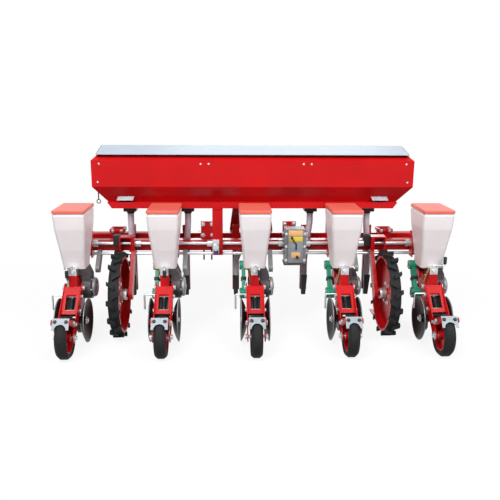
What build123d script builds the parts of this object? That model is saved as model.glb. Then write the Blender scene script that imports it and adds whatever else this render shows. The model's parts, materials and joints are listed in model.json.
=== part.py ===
from build123d import *

import os
from math import cos, pi, radians, sin, sqrt

os.makedirs("parts", exist_ok=True)

# Mounted five-row planter with a fertilizer box. Millimetres, +X right seen from the rear,
# +Y forward to the tractor, +Z up, origin on the ground under the middle of the machine.

# Rows
row_count = 5
row_pitch = 600
row_xs = [(i - (row_count - 1) / 2) * row_pitch for i in range(row_count)]

# Fore and aft stations, each measured forward from the press wheels' axle
press_to_disc = 240
press_to_post = 300
press_to_drive = 393
press_to_hopper = 403
press_to_shaft = 590
press_to_bar = 657
bar_pitch = 240
hitch_reach = 170

# Clearances
running_gap = 0.3
sliding_gap = 0.5
swing_gap = 5

# Toolbars: square tubes, with ties between them
bar_size = 75
bar_wall = 6
bar_corner = 8
bar_length = 2680
bar_z = 582.5
tie_end = 90
tie_xs = (-bar_length / 2 + tie_end, -300, 300, bar_length / 2 - tie_end)
tie_size = 60
clamp_xs = (-325, 263)
clamp_width = 95
clamp_rise = 122
clamp_thickness = 8

# Three-point hitch, category II
lower_pin_spread = 825
lower_pin_r = 14
lower_pin_length = 90
lower_pin_z = 480
lower_plate = 20
hitch_eye_r = 38
mast_height = 610
mast_foot_x = 130
mast_foot_size = 70
mast_leg_width = 75
mast_leg_thickness = 20
mast_gap = 52
mast_ear = 15
mast_ear_reach = 30
top_pin_r = 12.75

# Press wheels
press_dia = 270
press_width = 74
press_rim_r = 98
press_rim_width = 56
press_rim_wall = 6
press_hub_r = 24
press_hub_width = 68
press_axle_r = 10
press_crown = 8

# Covering discs, dished, one on each side of a row
disc_r = 146
disc_z = 164
disc_dish = 42
disc_sheet = 4
disc_rim_x = 96
disc_hub_r = 28
disc_hub_end = 80
disc_axle_r = 15

# Drive wheels with lugged tyres
drive_dia = 585
drive_x = 917
drive_width = 84
drive_rim_r = 252
drive_rim_width = 70
drive_rim_wall = 7
drive_flange = 8
drive_hub_r = 36
drive_hub_width = 96
dish_hub = 6
dish_rim = 20
drive_axle_r = 18
carcass_r = 271
lug_count = 14
lug_width = 26
lug_sweep = 30
lug_root = 8
arm_thickness = 26
arm_gap = 20
arm_hub_r = 36
saddle_width = 105
saddle_depth = 80
saddle_bottom = 562
saddle_top = 660
saddle_wall = 8

# Cross shafts and gearbox
shaft_r = 11
shaft_z = (533, 606)
shaft_end_x = 1320
collar_r = 24
collar_width = 38
gearbox_x = 290
gearbox_width = 148
gearbox_bottom = 478
gearbox_top = 722
gearbox_back = 500
panel_width = 108
panel_step = 8
guard_size = (45, 74, 78)

# Parking stands
stand_end = 355
stand_x = bar_length / 2 - stand_end
stand_size = 60
stand_sleeve = 90
sleeve_bottom = 520
sleeve_top = 665
stand_top = 600
foot_size = 120
foot_thickness = 10

# Fertilizer box: sheet trough with folded lips, end plates and a gable lid
box_width = 2210
box_depth = 434
box_floor_width = 2030
box_floor_depth = 274
box_lip = 40
box_floor_z = 895
box_waist_z = 1008
box_shoulder_z = 1187
box_rim_z = 1222
box_sheet = 4
lid_sheet = 4
lid_rise = 45
lid_overhang = 4
lid_length = 2130
lid_knuckle_r = 9
lid_knuckle_width = 30
lid_pin_r = 5
ear_thickness = 6
rail_depth = 80
rail_height = 43
rail_slant = 30
rear_post_x = -251
cap_post_xs = (-600, 600)
post_web = 72
post_sheet = 6
post_reach = 74
cap_post_depth = 60
post_drop = 15

# Fertilizer meters, hoses, shanks and boots: (meter X, boot X)
fertilizer_lines = ((-875, -885), (-466, -490), (0, -120), (415, 392), (830, 868))
fert_meter = (90, 100, 80)
fert_spout_r = 27
fert_spout = 18
hose_r = 22.5
hose_bend = 150
shank_width = 50
shank_depth = 32
shank_top = 690
shank_bottom = 190
boot_top = (46, 56)
boot_tip = (30, 34)
boot_top_z = 315
boot_tip_z = 158

# Seed hopper, lid and funnel
hopper_neck = (146, 140)
hopper_waist = (168, 216)
hopper_belly = (200, 286)
hopper_rim = (200, 306)
hopper_wall = 4
hopper_corner = 20
hopper_neck_z = 490
hopper_waist_z = 624
hopper_belly_z = 769
hopper_rim_z = 862
hopper_top_z = 893
lid_size = (212, 318)
lid_height = 20
lid_wall = 4
lid_edge = 5
lid_seat_gap = 0.5
hinge_r = 7
hinge_pin_r = 4
hinge_width = 24
hinge_gap = 1
hinge_drop = 24
hinge_spread = 60
funnel_bottom_z = 436

# Seed meter, its chain cases and the row frame
meter_inner_x = 40
meter_width = 60
meter_r = 78
meter_z = 345
meter_neck = 110
case_gap = 6
case_width = 28
shaft_case = ((0, 0, 28), (-88, -84, 30))
green_case_x = 45
green_case_width = 52
green_case = ((524, 462, 32), (420, 290, 38))
green_case_waist = 22
frame_half = 30
frame_plate = 8
frame_top = 425
frame_bottom = 232
frame_front = 486
link_height = 110
link_pivot_r = 20
link_width = 8
link_rear = (480, 290)
link_front = (578, 340)
bracket_half = 75
bracket_plate = 8
bracket_top = 690
bracket_bottom = 312
bracket_rear = 545

# Depth post, crank and seed opener; a crank's turn is degrees about its post, its hand is up or down
post_size = 55
post_bottom = 330
post_top = 460
block_size = 52
block_height = 44
crank_poses = ((-110, -1), (-85, -1), (-70, -1), (-40, -1), (-15, 1))
crank_r = 5
crank_rise = 14
crank_throw = 75
crank_handle = 58
opener_blade = 24
opener_tip_z = 26

# Press frame: side plates round the press wheel, a windowed top plate, spring and scraper
fork_half = 58
fork_plate = 6
fork_top = (290, 372, 32)
fork_axle_r = 34
fork_lug = (-72, 262, 18)
fork_heel = (60, 200, 30)
web_top = (262, 390)
web_end = (128, 246)
web_plate = 6
window_width = 64
window_span = (146, 222)
spring_r = 17
spring_groove = 4
spring_coils = 4
spring_ends = ((178, 258), (236, 320))
spring_pin_r = 8
pivot_r = 10
lever_start = (240, 338)
lever_r = 6
lever_reach = 130
lever_drop = 100
scraper_ends = ((-62, 286), (-112, 228))
scraper_sheet = 4
scraper_arch_r = 36

# Places worked out from the sizes above
overall_length = press_dia / 2 + press_to_bar + bar_pitch + hitch_reach + hitch_eye_r
press_y = press_dia / 2 - overall_length / 2
press_z = press_dia / 2
disc_y = press_y + press_to_disc
post_y = press_y + press_to_post
drive_y = press_y + press_to_drive
drive_z = drive_dia / 2
hopper_y = press_y + press_to_hopper
shaft_y = press_y + press_to_shaft
bar_y = press_y + press_to_bar
front_bar_y = bar_y + bar_pitch
bar_rear = bar_y - bar_size / 2
bar_front = bar_y + bar_size / 2
front_bar_rear = front_bar_y - bar_size / 2
front_bar_front = front_bar_y + bar_size / 2
box_y = (bar_y + front_bar_y) / 2
hitch_y = front_bar_y + hitch_reach
mast_y = box_y + box_depth / 2 + 2 * swing_gap
top_pin_y = mast_y + mast_leg_thickness + mast_ear_reach
top_pin_z = lower_pin_z + mast_height
fork_in = fork_half - fork_plate
lid_axis_y = box_y + box_depth / 2 + lid_overhang
lid_axis_z = box_rim_z + swing_gap + lid_sheet
hinge_y = hopper_y + lid_size[1] / 2 + hinge_r + hinge_gap
hinge_z = hopper_top_z + lid_seat_gap + lid_wall - lid_height


def row_planes(offset):
    """Side-view planes, local x along Y and local y along Z, one beside each row's centre."""
    return [Plane.YZ.offset(x + offset) for x in row_xs]


def rear_plane(y):
    """A plane seen from the rear: local x along X, local y along Z, its normal pointing back."""
    return Plane.XZ.offset(-y)


def plate_round(*lobes):
    """The convex plate outline round (forward from the press axle, height, radius) lobes."""
    for forward, height, radius in lobes:
        with Locations((press_y + forward, height)):
            Circle(radius)
    make_hull()


def save(piece, name):
    piece.label = name
    export_step(piece, "parts/" + name + ".step")


# Toolbars and ties
for name, y in (("rear_toolbar", bar_y), ("front_toolbar", front_bar_y)):
    with BuildPart() as toolbar:
        with BuildSketch(Plane.YZ.offset(-bar_length / 2)):
            with Locations((y, bar_z)):
                RectangleRounded(bar_size, bar_size, bar_corner)
                Rectangle(bar_size - 2 * bar_wall, bar_size - 2 * bar_wall, mode=Mode.SUBTRACT)
        extrude(amount=bar_length)
    save(toolbar.part, name)

with BuildPart() as toolbar_ties:
    with BuildSketch(rear_plane(bar_front)):
        with Locations(*[(x, bar_z) for x in tie_xs]):
            Rectangle(tie_size, tie_size)
    extrude(amount=bar_front - front_bar_rear)
    with BuildSketch(rear_plane(bar_front)):
        with Locations(*[(x, bar_z - bar_size / 2) for x in clamp_xs]):
            Rectangle(clamp_width, bar_size + clamp_rise, align=(Align.CENTER, Align.MIN))
    extrude(amount=-clamp_thickness)
save(toolbar_ties.part, "toolbar_ties")

# Three-point hitch: two mast halves on the front toolbar, and two lower brackets with their pins
with BuildPart() as hitch_mast:
    with BuildSketch(rear_plane(front_bar_front)):
        with Locations((-mast_foot_x, bar_z), (mast_foot_x, bar_z)):
            Rectangle(mast_foot_size, bar_size)
    extrude(amount=front_bar_front - mast_y)
    ear_x = mast_gap / 2
    leg_foot = mast_foot_x + mast_foot_size / 2
    for side in (-1, 1):
        with BuildSketch(rear_plane(mast_y)):
            with BuildLine():
                Polyline(
                    (side * leg_foot, bar_z - bar_size / 2),
                    (side * leg_foot, bar_z + bar_size / 2),
                    (side * (ear_x + mast_leg_width), top_pin_z),
                    (side * ear_x, top_pin_z),
                    (side * (leg_foot - mast_leg_width), bar_z + bar_size / 2),
                    (side * (leg_foot - mast_leg_width), bar_z - bar_size / 2),
                    close=True,
                )
            make_face()
        extrude(amount=-mast_leg_thickness)
    with BuildSketch(Plane.YZ.offset(ear_x), Plane.YZ.offset(-ear_x - mast_ear)):
        with Locations((mast_y + mast_leg_thickness / 2, top_pin_z - 2 * hitch_eye_r)):
            Rectangle(mast_leg_thickness, 2 * hitch_eye_r)
        with Locations((top_pin_y, top_pin_z)):
            Circle(hitch_eye_r)
        make_hull()
        with Locations((top_pin_y, top_pin_z)):
            Circle(top_pin_r, mode=Mode.SUBTRACT)
    extrude(amount=mast_ear)
    with BuildSketch(Plane.YZ.offset(-ear_x - mast_leg_width)):
        with Locations((top_pin_y, top_pin_z)):
            Circle(top_pin_r)
    extrude(amount=2 * (ear_x + mast_leg_width), mode=Mode.SUBTRACT)
save(hitch_mast.part, "hitch_mast")

with BuildPart() as lower_hitch:
    plate_x = lower_pin_spread / 2
    with BuildSketch(Plane.YZ.offset(plate_x - lower_plate), Plane.YZ.offset(-plate_x)):
        with Locations((front_bar_front + hitch_eye_r, bar_z)):
            Rectangle(2 * hitch_eye_r, bar_size)
        with Locations((hitch_y, lower_pin_z)):
            Circle(hitch_eye_r)
        make_hull()
    extrude(amount=lower_plate)
    with BuildSketch(Plane.YZ.offset(plate_x), Plane.YZ.offset(-plate_x - lower_pin_length)):
        with Locations((hitch_y, lower_pin_z)):
            Circle(lower_pin_r)
    extrude(amount=lower_pin_length)
save(lower_hitch.part, "lower_hitch")

# Parking stands: square sleeves on the front toolbar, with telescoping legs
stand_y = front_bar_rear - stand_sleeve / 2
with BuildPart() as stand_sleeves:
    with BuildSketch(Plane.XY.offset(sleeve_bottom)):
        with Locations((-stand_x, stand_y), (stand_x, stand_y)):
            Rectangle(stand_sleeve, stand_sleeve)
            Rectangle(stand_size + 2 * sliding_gap, stand_size + 2 * sliding_gap, mode=Mode.SUBTRACT)
    extrude(amount=sleeve_top - sleeve_bottom)
save(stand_sleeves.part, "stand_sleeves")

for name, x in (("stand_leg_left", -stand_x), ("stand_leg_right", stand_x)):
    with BuildPart() as stand_leg:
        with BuildSketch():
            with Locations((x, stand_y)):
                Rectangle(foot_size, foot_size)
        extrude(amount=foot_thickness)
        with BuildSketch(Plane.XY.offset(foot_thickness)):
            with Locations((x, stand_y)):
                Rectangle(stand_size, stand_size)
        extrude(amount=stand_top - foot_thickness)
    save(stand_leg.part, name)

# Fertilizer box: side view of the trough, and rear view that cuts its slanted ends
half_depth = box_depth / 2
half_floor = box_floor_depth / 2
trough_side = [
    (box_y - half_depth + box_lip, box_rim_z),
    (box_y - half_depth, box_shoulder_z),
    (box_y - half_depth, box_waist_z),
    (box_y - half_floor, box_floor_z),
    (box_y + half_floor, box_floor_z),
    (box_y + half_depth, box_waist_z),
    (box_y + half_depth, box_shoulder_z),
    (box_y + half_depth - box_lip, box_rim_z),
]


def trough_rear(inset):
    """The trough's outline seen from the rear, its end walls moved in by inset."""
    half = box_width / 2 - inset
    floor = box_floor_width / 2 - inset
    return [
        (-half + box_lip, box_rim_z),
        (-half, box_shoulder_z),
        (-half, box_waist_z),
        (-floor, box_floor_z),
        (floor, box_floor_z),
        (half, box_waist_z),
        (half, box_shoulder_z),
        (half - box_lip, box_rim_z),
    ]


box_mouth = box_depth - 2 * box_lip - 2 * box_sheet
with BuildPart() as box_shell:
    with BuildSketch(Plane.YZ.offset(-box_width / 2)):
        with BuildLine():
            Polyline(*trough_side, close=True)
        make_face()
        offset(amount=-box_sheet, mode=Mode.SUBTRACT)
        with Locations((box_y, box_rim_z)):
            Rectangle(box_mouth, 4 * box_sheet, mode=Mode.SUBTRACT)
    extrude(amount=box_width)
    with BuildSketch(rear_plane(box_y - box_depth)):
        with BuildLine():
            Polyline(*trough_rear(box_sheet), close=True)
        make_face()
    extrude(amount=-2 * box_depth, mode=Mode.INTERSECT)
save(box_shell.part, "box_shell")

with BuildPart() as box_ends:
    with BuildSketch(Plane.YZ.offset(-box_width / 2)):
        with BuildLine():
            Polyline(*trough_side, close=True)
        make_face()
    extrude(amount=box_width)
    with BuildSketch(rear_plane(box_y - box_depth)):
        with BuildLine():
            Polyline(*trough_rear(0), close=True)
        make_face()
    extrude(amount=-2 * box_depth, mode=Mode.INTERSECT)
    ear_x = lid_length / 2 + swing_gap
    with BuildSketch(Plane.YZ.offset(ear_x), Plane.YZ.offset(-ear_x - ear_thickness)):
        with Locations((box_y + half_depth - box_lip, box_rim_z - 2 * box_sheet)):
            Rectangle(4 * box_sheet, 2 * box_sheet)
        with Locations((lid_axis_y, lid_axis_z)):
            Circle(lid_knuckle_r)
        make_hull()
    extrude(amount=ear_thickness)
    with BuildSketch(Plane.YZ.offset(ear_x - lid_knuckle_width), Plane.YZ.offset(-ear_x)):
        with Locations((lid_axis_y, lid_axis_z)):
            Circle(lid_pin_r)
    extrude(amount=lid_knuckle_width)
    with BuildSketch(rear_plane(box_y - box_depth)):
        with BuildLine():
            Polyline(*trough_rear(box_sheet), close=True)
        make_face()
    extrude(amount=-2 * box_depth, mode=Mode.SUBTRACT)
save(box_ends.part, "box_ends")

# Box lid: a gable sheet with closed ends, on two knuckles along its front edge
lid_half = half_depth + lid_overhang
lid_edge_z = box_rim_z + swing_gap
with BuildPart() as box_lid:
    with BuildSketch(Plane.YZ.offset(-lid_length / 2)):
        with BuildLine():
            Polyline(
                (box_y - lid_half, lid_edge_z),
                (box_y - lid_half, lid_edge_z + lid_sheet),
                (box_y, lid_edge_z + lid_sheet + lid_rise),
                (box_y + lid_half, lid_edge_z + lid_sheet),
                (box_y + lid_half, lid_edge_z),
                (box_y, lid_edge_z + lid_rise),
                close=True,
            )
        make_face()
    extrude(amount=lid_length)
    with BuildSketch(Plane.YZ.offset(-lid_length / 2), Plane.YZ.offset(lid_length / 2 - lid_sheet)):
        with BuildLine():
            Polyline(
                (box_y - lid_half, lid_edge_z),
                (box_y, lid_edge_z + lid_rise + lid_sheet),
                (box_y + lid_half, lid_edge_z),
                close=True,
            )
        make_face()
    extrude(amount=lid_sheet)
    knuckle_x = lid_length / 2 - lid_knuckle_width
    with BuildSketch(Plane.YZ.offset(knuckle_x), Plane.YZ.offset(-knuckle_x - lid_knuckle_width)):
        with Locations((lid_axis_y, lid_axis_z)):
            Circle(lid_knuckle_r)
    extrude(amount=lid_knuckle_width)
    with BuildSketch(Plane.YZ.offset(knuckle_x), Plane.YZ.offset(-knuckle_x - lid_knuckle_width)):
        with Locations((lid_axis_y, lid_axis_z)):
            Circle(lid_pin_r + running_gap)
    extrude(amount=lid_knuckle_width, mode=Mode.SUBTRACT)
save(box_lid.part, "box_lid")

# Box supports: a rail under each edge of the floor, on channel posts that stand on the toolbars
post_foot = bar_z - bar_size / 2 - post_drop
rail_bottom = box_floor_z - rail_height
with BuildPart() as box_supports:
    for rail_y in (box_y - half_floor - box_lip, box_y + half_floor + box_lip - rail_depth):
        with BuildSketch(rear_plane(rail_y)):
            with BuildLine():
                Polyline(
                    (-box_floor_width / 2, box_floor_z),
                    (box_floor_width / 2, box_floor_z),
                    (box_floor_width / 2 - rail_slant, rail_bottom),
                    (-box_floor_width / 2 + rail_slant, rail_bottom),
                    close=True,
                )
            make_face()
        extrude(amount=-rail_depth)
    with BuildSketch(Plane.XY.offset(post_foot)):
        with Locations((rear_post_x, bar_rear)):
            Rectangle(post_web, post_reach, align=(Align.CENTER, Align.MAX))
            Rectangle(post_web - 2 * post_sheet, post_reach - post_sheet,
                      align=(Align.CENTER, Align.MAX), mode=Mode.SUBTRACT)
    extrude(amount=rail_bottom - post_foot)
    with BuildSketch(Plane.XY.offset(bar_z + bar_size / 2)):
        with Locations(*[(x, y) for x in cap_post_xs for y in (bar_y, front_bar_y)]):
            Rectangle(post_web, cap_post_depth)
            Rectangle(post_web - 2 * post_sheet, cap_post_depth - 2 * post_sheet, mode=Mode.SUBTRACT)
    extrude(amount=rail_bottom - bar_z - bar_size / 2)
    for height in shaft_z:
        with BuildSketch(Plane.YZ.offset(-shaft_end_x)):
            with Locations((shaft_y, height)):
                Circle(shaft_r + running_gap)
        extrude(amount=2 * shaft_end_x, mode=Mode.SUBTRACT)
save(box_supports.part, "box_supports")

# Fertilizer meters under the box floor, hoses between the toolbars, shanks and boots
fert_y = box_y - half_floor + rail_depth / 2 + fert_meter[1] / 2
spout_z = box_floor_z - fert_meter[2] - fert_spout
with BuildPart() as fertilizer_meters:
    with BuildSketch(Plane.XY.offset(box_floor_z - fert_meter[2])):
        with Locations(*[(x, fert_y) for x, boot_x in fertilizer_lines]):
            RectangleRounded(fert_meter[0], fert_meter[1], 2 * lid_edge)
    extrude(amount=fert_meter[2])
    with BuildSketch(Plane.XY.offset(spout_z)):
        with Locations(*[(x, fert_y) for x, boot_x in fertilizer_lines]):
            Circle(fert_spout_r)
    extrude(amount=fert_spout)
save(fertilizer_meters.part, "fertilizer_meters")

shank_y = front_bar_rear - shank_depth / 2
boot_front = front_bar_rear - shank_depth
boot_y = boot_front - boot_top[1] / 2
hose_top_run = bar_z + 2 * bar_size
hose_foot_run = bar_z - 2 * bar_size
with BuildPart() as fertilizer_hoses:
    for meter_x, boot_x in fertilizer_lines:
        with BuildLine() as hose_line:
            FilletPolyline(
                (meter_x, fert_y, spout_z),
                (meter_x, fert_y, hose_top_run),
                (boot_x, boot_y, hose_foot_run),
                (boot_x, boot_y, boot_top_z),
                radius=hose_bend,
            )
        with BuildSketch(Plane(origin=(meter_x, fert_y, spout_z), z_dir=(0, 0, -1))):
            Circle(hose_r)
        sweep(path=hose_line.wires()[0])
save(fertilizer_hoses.part, "fertilizer_hoses")

with BuildPart() as opener_shanks:
    with BuildSketch(Plane.XY.offset(shank_bottom)):
        with Locations(*[(boot_x, shank_y) for x, boot_x in fertilizer_lines]):
            Rectangle(shank_width, shank_depth)
    extrude(amount=shank_top - shank_bottom)
save(opener_shanks.part, "opener_shanks")

with BuildPart() as opener_boots:
    for meter_x, boot_x in fertilizer_lines:
        for size, height in ((boot_tip, boot_tip_z), (boot_top, boot_top_z)):
            with BuildSketch(Plane.XY.offset(height)):
                with Locations((boot_x, boot_front)):
                    Rectangle(size[0], size[1], align=(Align.CENTER, Align.MAX))
        loft(ruled=True)
save(opener_boots.part, "opener_boots")

# Cross shafts, in two lengths that end in the gearbox
gearbox_sides = (gearbox_x - gearbox_width / 2, gearbox_x + gearbox_width / 2)
with BuildPart() as cross_shafts:
    for start, end in ((-shaft_end_x, gearbox_sides[0]), (gearbox_sides[1], shaft_end_x)):
        with BuildSketch(Plane.YZ.offset(start)):
            with Locations(*[(shaft_y, height) for height in shaft_z]):
                Circle(shaft_r)
        extrude(amount=end - start)
save(cross_shafts.part, "cross_shafts")

gearbox_front = press_y + gearbox_back
with BuildPart() as gearbox:
    with BuildSketch(rear_plane(bar_rear)):
        with Locations((gearbox_x, (gearbox_bottom + gearbox_top) / 2)):
            RectangleRounded(gearbox_width, gearbox_top - gearbox_bottom, 2 * lid_edge)
    extrude(amount=bar_rear - gearbox_front)
    with BuildSketch(rear_plane(gearbox_front)):
        with Locations((gearbox_x, (gearbox_bottom + gearbox_top) / 2)):
            Rectangle(panel_width, gearbox_top - gearbox_bottom - 4 * lid_edge)
    extrude(amount=panel_step)
save(gearbox.part, "gearbox")

# Bearing collars on the upper shaft, against the faces that carry them
saddle_in = drive_x - drive_width / 2 - arm_gap - arm_thickness
saddle_out = saddle_in + saddle_width
collar_places = [
    row_xs[0] + bracket_half,
    -saddle_in,
    rear_post_x - post_web / 2 - collar_width,
    gearbox_sides[0] - collar_width,
    gearbox_sides[1],
    saddle_in - collar_width - guard_size[0],
    row_xs[-1] - bracket_half - collar_width,
]
with BuildPart() as shaft_bearings:
    for start in collar_places:
        with BuildSketch(Plane.YZ.offset(start)):
            with Locations((shaft_y, shaft_z[1])):
                Circle(collar_r)
                Circle(shaft_r + running_gap, mode=Mode.SUBTRACT)
        extrude(amount=collar_width)
save(shaft_bearings.part, "shaft_bearings")

# Drive wheel arms: an open saddle on the rear toolbar, a flat arm and the wheel's stub axle
with BuildPart() as drive_arms:
    for side in (-1, 1):
        inner = saddle_in if side > 0 else -saddle_in - arm_thickness
        outer = saddle_out - saddle_wall if side > 0 else -saddle_out
        left = saddle_in if side > 0 else -saddle_out
        with BuildSketch(Plane.YZ.offset(left)):
            with Locations((bar_rear, saddle_top)):
                Rectangle(saddle_depth, saddle_wall, align=Align.MAX)
            with Locations((bar_rear, saddle_bottom)):
                Rectangle(saddle_wall, saddle_top - saddle_bottom, align=(Align.MAX, Align.MIN))
        extrude(amount=saddle_width)
        with BuildSketch(Plane.YZ.offset(outer)):
            with Locations((bar_rear, saddle_top)):
                Rectangle(saddle_depth, saddle_top - saddle_bottom, align=Align.MAX)
        extrude(amount=saddle_wall)
        with BuildSketch(Plane.YZ.offset(inner)):
            with Locations((bar_rear, saddle_top)):
                Rectangle(saddle_depth, saddle_top - saddle_bottom, align=Align.MAX)
        extrude(amount=arm_thickness)
        with BuildSketch(Plane.YZ.offset(inner)):
            with Locations((bar_rear - saddle_depth / 2 - lug_root, saddle_bottom)):
                Rectangle(saddle_depth - 4 * lug_root, saddle_wall)
            with Locations((drive_y, drive_z)):
                Circle(arm_hub_r)
            make_hull()
        extrude(amount=arm_thickness)
        axle_start = saddle_in if side > 0 else -drive_x - drive_hub_width / 2
        axle_end = drive_x + drive_hub_width / 2 if side > 0 else -saddle_in
        with BuildSketch(Plane.YZ.offset(axle_start)):
            with Locations((drive_y, drive_z)):
                Circle(drive_axle_r)
        extrude(amount=axle_end - axle_start)
    for height in shaft_z:
        with BuildSketch(Plane.YZ.offset(-shaft_end_x)):
            with Locations((shaft_y, height)):
                Circle(shaft_r + running_gap)
        extrude(amount=2 * shaft_end_x, mode=Mode.SUBTRACT)
save(drive_arms.part, "drive_arms")

# Chain guards, each on the left of its saddle, round the upper shaft
with BuildPart() as chain_guards:
    with BuildSketch(Plane.YZ.offset(-saddle_out - guard_size[0]), Plane.YZ.offset(saddle_in - guard_size[0])):
        with Locations((shaft_y, shaft_z[1] + 2 * shaft_r)):
            RectangleRounded(guard_size[1] - 2 * lug_root, guard_size[2], lid_edge)
        with Locations((shaft_y, shaft_z[1])):
            Circle(shaft_r + running_gap, mode=Mode.SUBTRACT)
    extrude(amount=guard_size[0])
save(chain_guards.part, "chain_guards")

# Drive wheels: dished rims, and tyres with two staggered rings of slanted lugs
for name, x, out in (("left", -drive_x, -1), ("right", drive_x, 1)):
    axle_line = Axis((x, drive_y, drive_z), (1, 0, 0))
    rim_half = drive_rim_width / 2
    rim_in = drive_rim_r - drive_rim_wall
    rim_out = drive_rim_r + drive_flange
    with BuildPart() as drive_rim:
        with BuildSketch(Plane((x, drive_y, drive_z))):
            with BuildLine():
                Polyline(
                    (-drive_hub_width / 2, drive_axle_r + running_gap),
                    (-drive_hub_width / 2, drive_hub_r),
                    (out * dish_hub - drive_rim_wall / 2, drive_hub_r),
                    (out * dish_rim - drive_rim_wall / 2, rim_in),
                    (-rim_half, rim_in),
                    (-rim_half, rim_out),
                    (-rim_half + drive_rim_wall, rim_out),
                    (-rim_half + drive_rim_wall, drive_rim_r),
                    (rim_half - drive_rim_wall, drive_rim_r),
                    (rim_half - drive_rim_wall, rim_out),
                    (rim_half, rim_out),
                    (rim_half, rim_in),
                    (out * dish_rim + drive_rim_wall / 2, rim_in),
                    (out * dish_hub + drive_rim_wall / 2, drive_hub_r),
                    (drive_hub_width / 2, drive_hub_r),
                    (drive_hub_width / 2, drive_axle_r + running_gap),
                    close=True,
                )
            make_face()
        revolve(axis=axle_line)
    save(drive_rim.part, "drive_rim_" + name)

    bead = rim_half - drive_rim_wall - running_gap
    bore = drive_rim_r + running_gap
    with BuildPart() as drive_tyre:
        with BuildSketch(Plane((x, drive_y, drive_z))):
            with BuildLine():
                Polyline(
                    (-bead, bore),
                    (-bead, rim_out),
                    (-drive_width / 2 + lug_root, carcass_r - lug_root),
                    (-drive_width / 2 + 3 * lug_root, carcass_r),
                    (drive_width / 2 - 3 * lug_root, carcass_r),
                    (drive_width / 2 - lug_root, carcass_r - lug_root),
                    (bead, rim_out),
                    (bead, bore),
                    close=True,
                )
            make_face()
        revolve(axis=axle_line)
        for side in (-1, 1):
            stagger = 0 if side > 0 else 0.5
            lug_planes = []
            for i in range(lug_count):
                turn = 2 * pi * (i + stagger) / lug_count - pi / 2
                way = (0, cos(turn), sin(turn))
                origin = (x, drive_y + way[1] * (carcass_r - lug_root), drive_z + way[2] * (carcass_r - lug_root))
                lug_planes.append(Plane(origin=origin, x_dir=(1, 0, 0), z_dir=way))
            with BuildSketch(*lug_planes):
                with BuildLine():
                    Polyline(
                        (-side * lug_root, -lug_width / 2),
                        (side * drive_width / 2, lug_sweep - lug_width / 2),
                        (side * drive_width / 2, lug_sweep + lug_width / 2),
                        (-side * lug_root, lug_width / 2),
                        close=True,
                    )
                make_face()
            extrude(amount=drive_dia / 2 - carcass_r + 2 * lug_root)
        with BuildSketch(Plane.YZ.offset(x - drive_width / 2)):
            with Locations((drive_y, drive_z)):
                Circle(drive_dia / 2)
        extrude(amount=drive_width, mode=Mode.INTERSECT)
    save(drive_tyre.part, "drive_tyre_" + name)

# Row brackets: a clamp plate on the rear toolbar with shaft gussets and link plates
with BuildPart() as row_brackets:
    for x in row_xs:
        with BuildSketch(rear_plane(bar_rear)):
            with Locations((x, bracket_top)):
                Rectangle(2 * bracket_half, bracket_top - shaft_z[0] + 2 * shaft_r, align=(Align.CENTER, Align.MAX))
            with Locations((x, bracket_bottom)):
                Rectangle(2 * frame_half, shaft_z[0] - bracket_bottom, align=(Align.CENTER, Align.MIN))
        extrude(amount=bracket_plate)
    with BuildSketch(*row_planes(bracket_half - bracket_plate), *row_planes(-bracket_half)):
        with BuildLine():
            Polyline(
                (bar_rear, bracket_top),
                (press_y + bracket_rear, shaft_z[1] + 3 * shaft_r),
                (press_y + bracket_rear, shaft_z[0] - 2 * shaft_r),
                (bar_rear, shaft_z[0] - 2 * shaft_r),
                close=True,
            )
        make_face()
    extrude(amount=bracket_plate)
    with BuildSketch(*row_planes(frame_half - frame_plate), *row_planes(-frame_half)):
        with Locations((bar_rear, bracket_bottom)):
            Rectangle(bar_rear - press_y - bracket_rear, shaft_z[0] - 2 * shaft_r - bracket_bottom,
                      align=(Align.MAX, Align.MIN))
    extrude(amount=frame_plate)
    for height in shaft_z:
        with BuildSketch(Plane.YZ.offset(-shaft_end_x)):
            with Locations((shaft_y, height)):
                Circle(shaft_r + running_gap)
        extrude(amount=2 * shaft_end_x, mode=Mode.SUBTRACT)
save(row_brackets.part, "row_brackets")

# Parallel links, two above and two below on each row, with their pivot bosses
with BuildPart() as parallel_links:
    for rise in (0, link_height):
        with BuildSketch(*row_planes(frame_half), *row_planes(-frame_half - link_width)):
            plate_round(
                (link_rear[0], link_rear[1] + rise, link_pivot_r),
                (link_front[0], link_front[1] + rise, link_pivot_r),
            )
        extrude(amount=link_width)
save(parallel_links.part, "parallel_links")

# Row frames: two spine plates from the links to the depth post, with an arm to the disc axle
post_front = post_y + post_size / 2
with BuildPart() as row_frames:
    with BuildSketch(*row_planes(frame_half - frame_plate), *row_planes(-frame_half)):
        with BuildLine():
            Polyline(
                (post_front, frame_top),
                (press_y + frame_front, frame_top),
                (press_y + frame_front + link_pivot_r, link_rear[1] + link_height),
                (press_y + frame_front + link_pivot_r, link_rear[1]),
                (press_y + frame_front - 2 * link_pivot_r, frame_bottom),
                (post_front, frame_bottom),
                close=True,
            )
        make_face()
    extrude(amount=frame_plate)
    with BuildSketch(*row_planes(frame_half - frame_plate), *row_planes(-frame_half)):
        plate_round(
            (press_to_disc, disc_z, disc_hub_r),
            (press_to_post + post_size + 2 * disc_hub_r, frame_bottom + disc_hub_r, disc_hub_r),
        )
        with Locations((disc_y, disc_z)):
            Circle(disc_axle_r + running_gap, mode=Mode.SUBTRACT)
    extrude(amount=frame_plate)
    with BuildSketch(*row_planes(-frame_half)):
        with Locations((press_y + frame_front, frame_top)):
            Rectangle(post_size, frame_plate, align=Align.MAX)
    extrude(amount=2 * frame_half)
save(row_frames.part, "row_frames")

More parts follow.
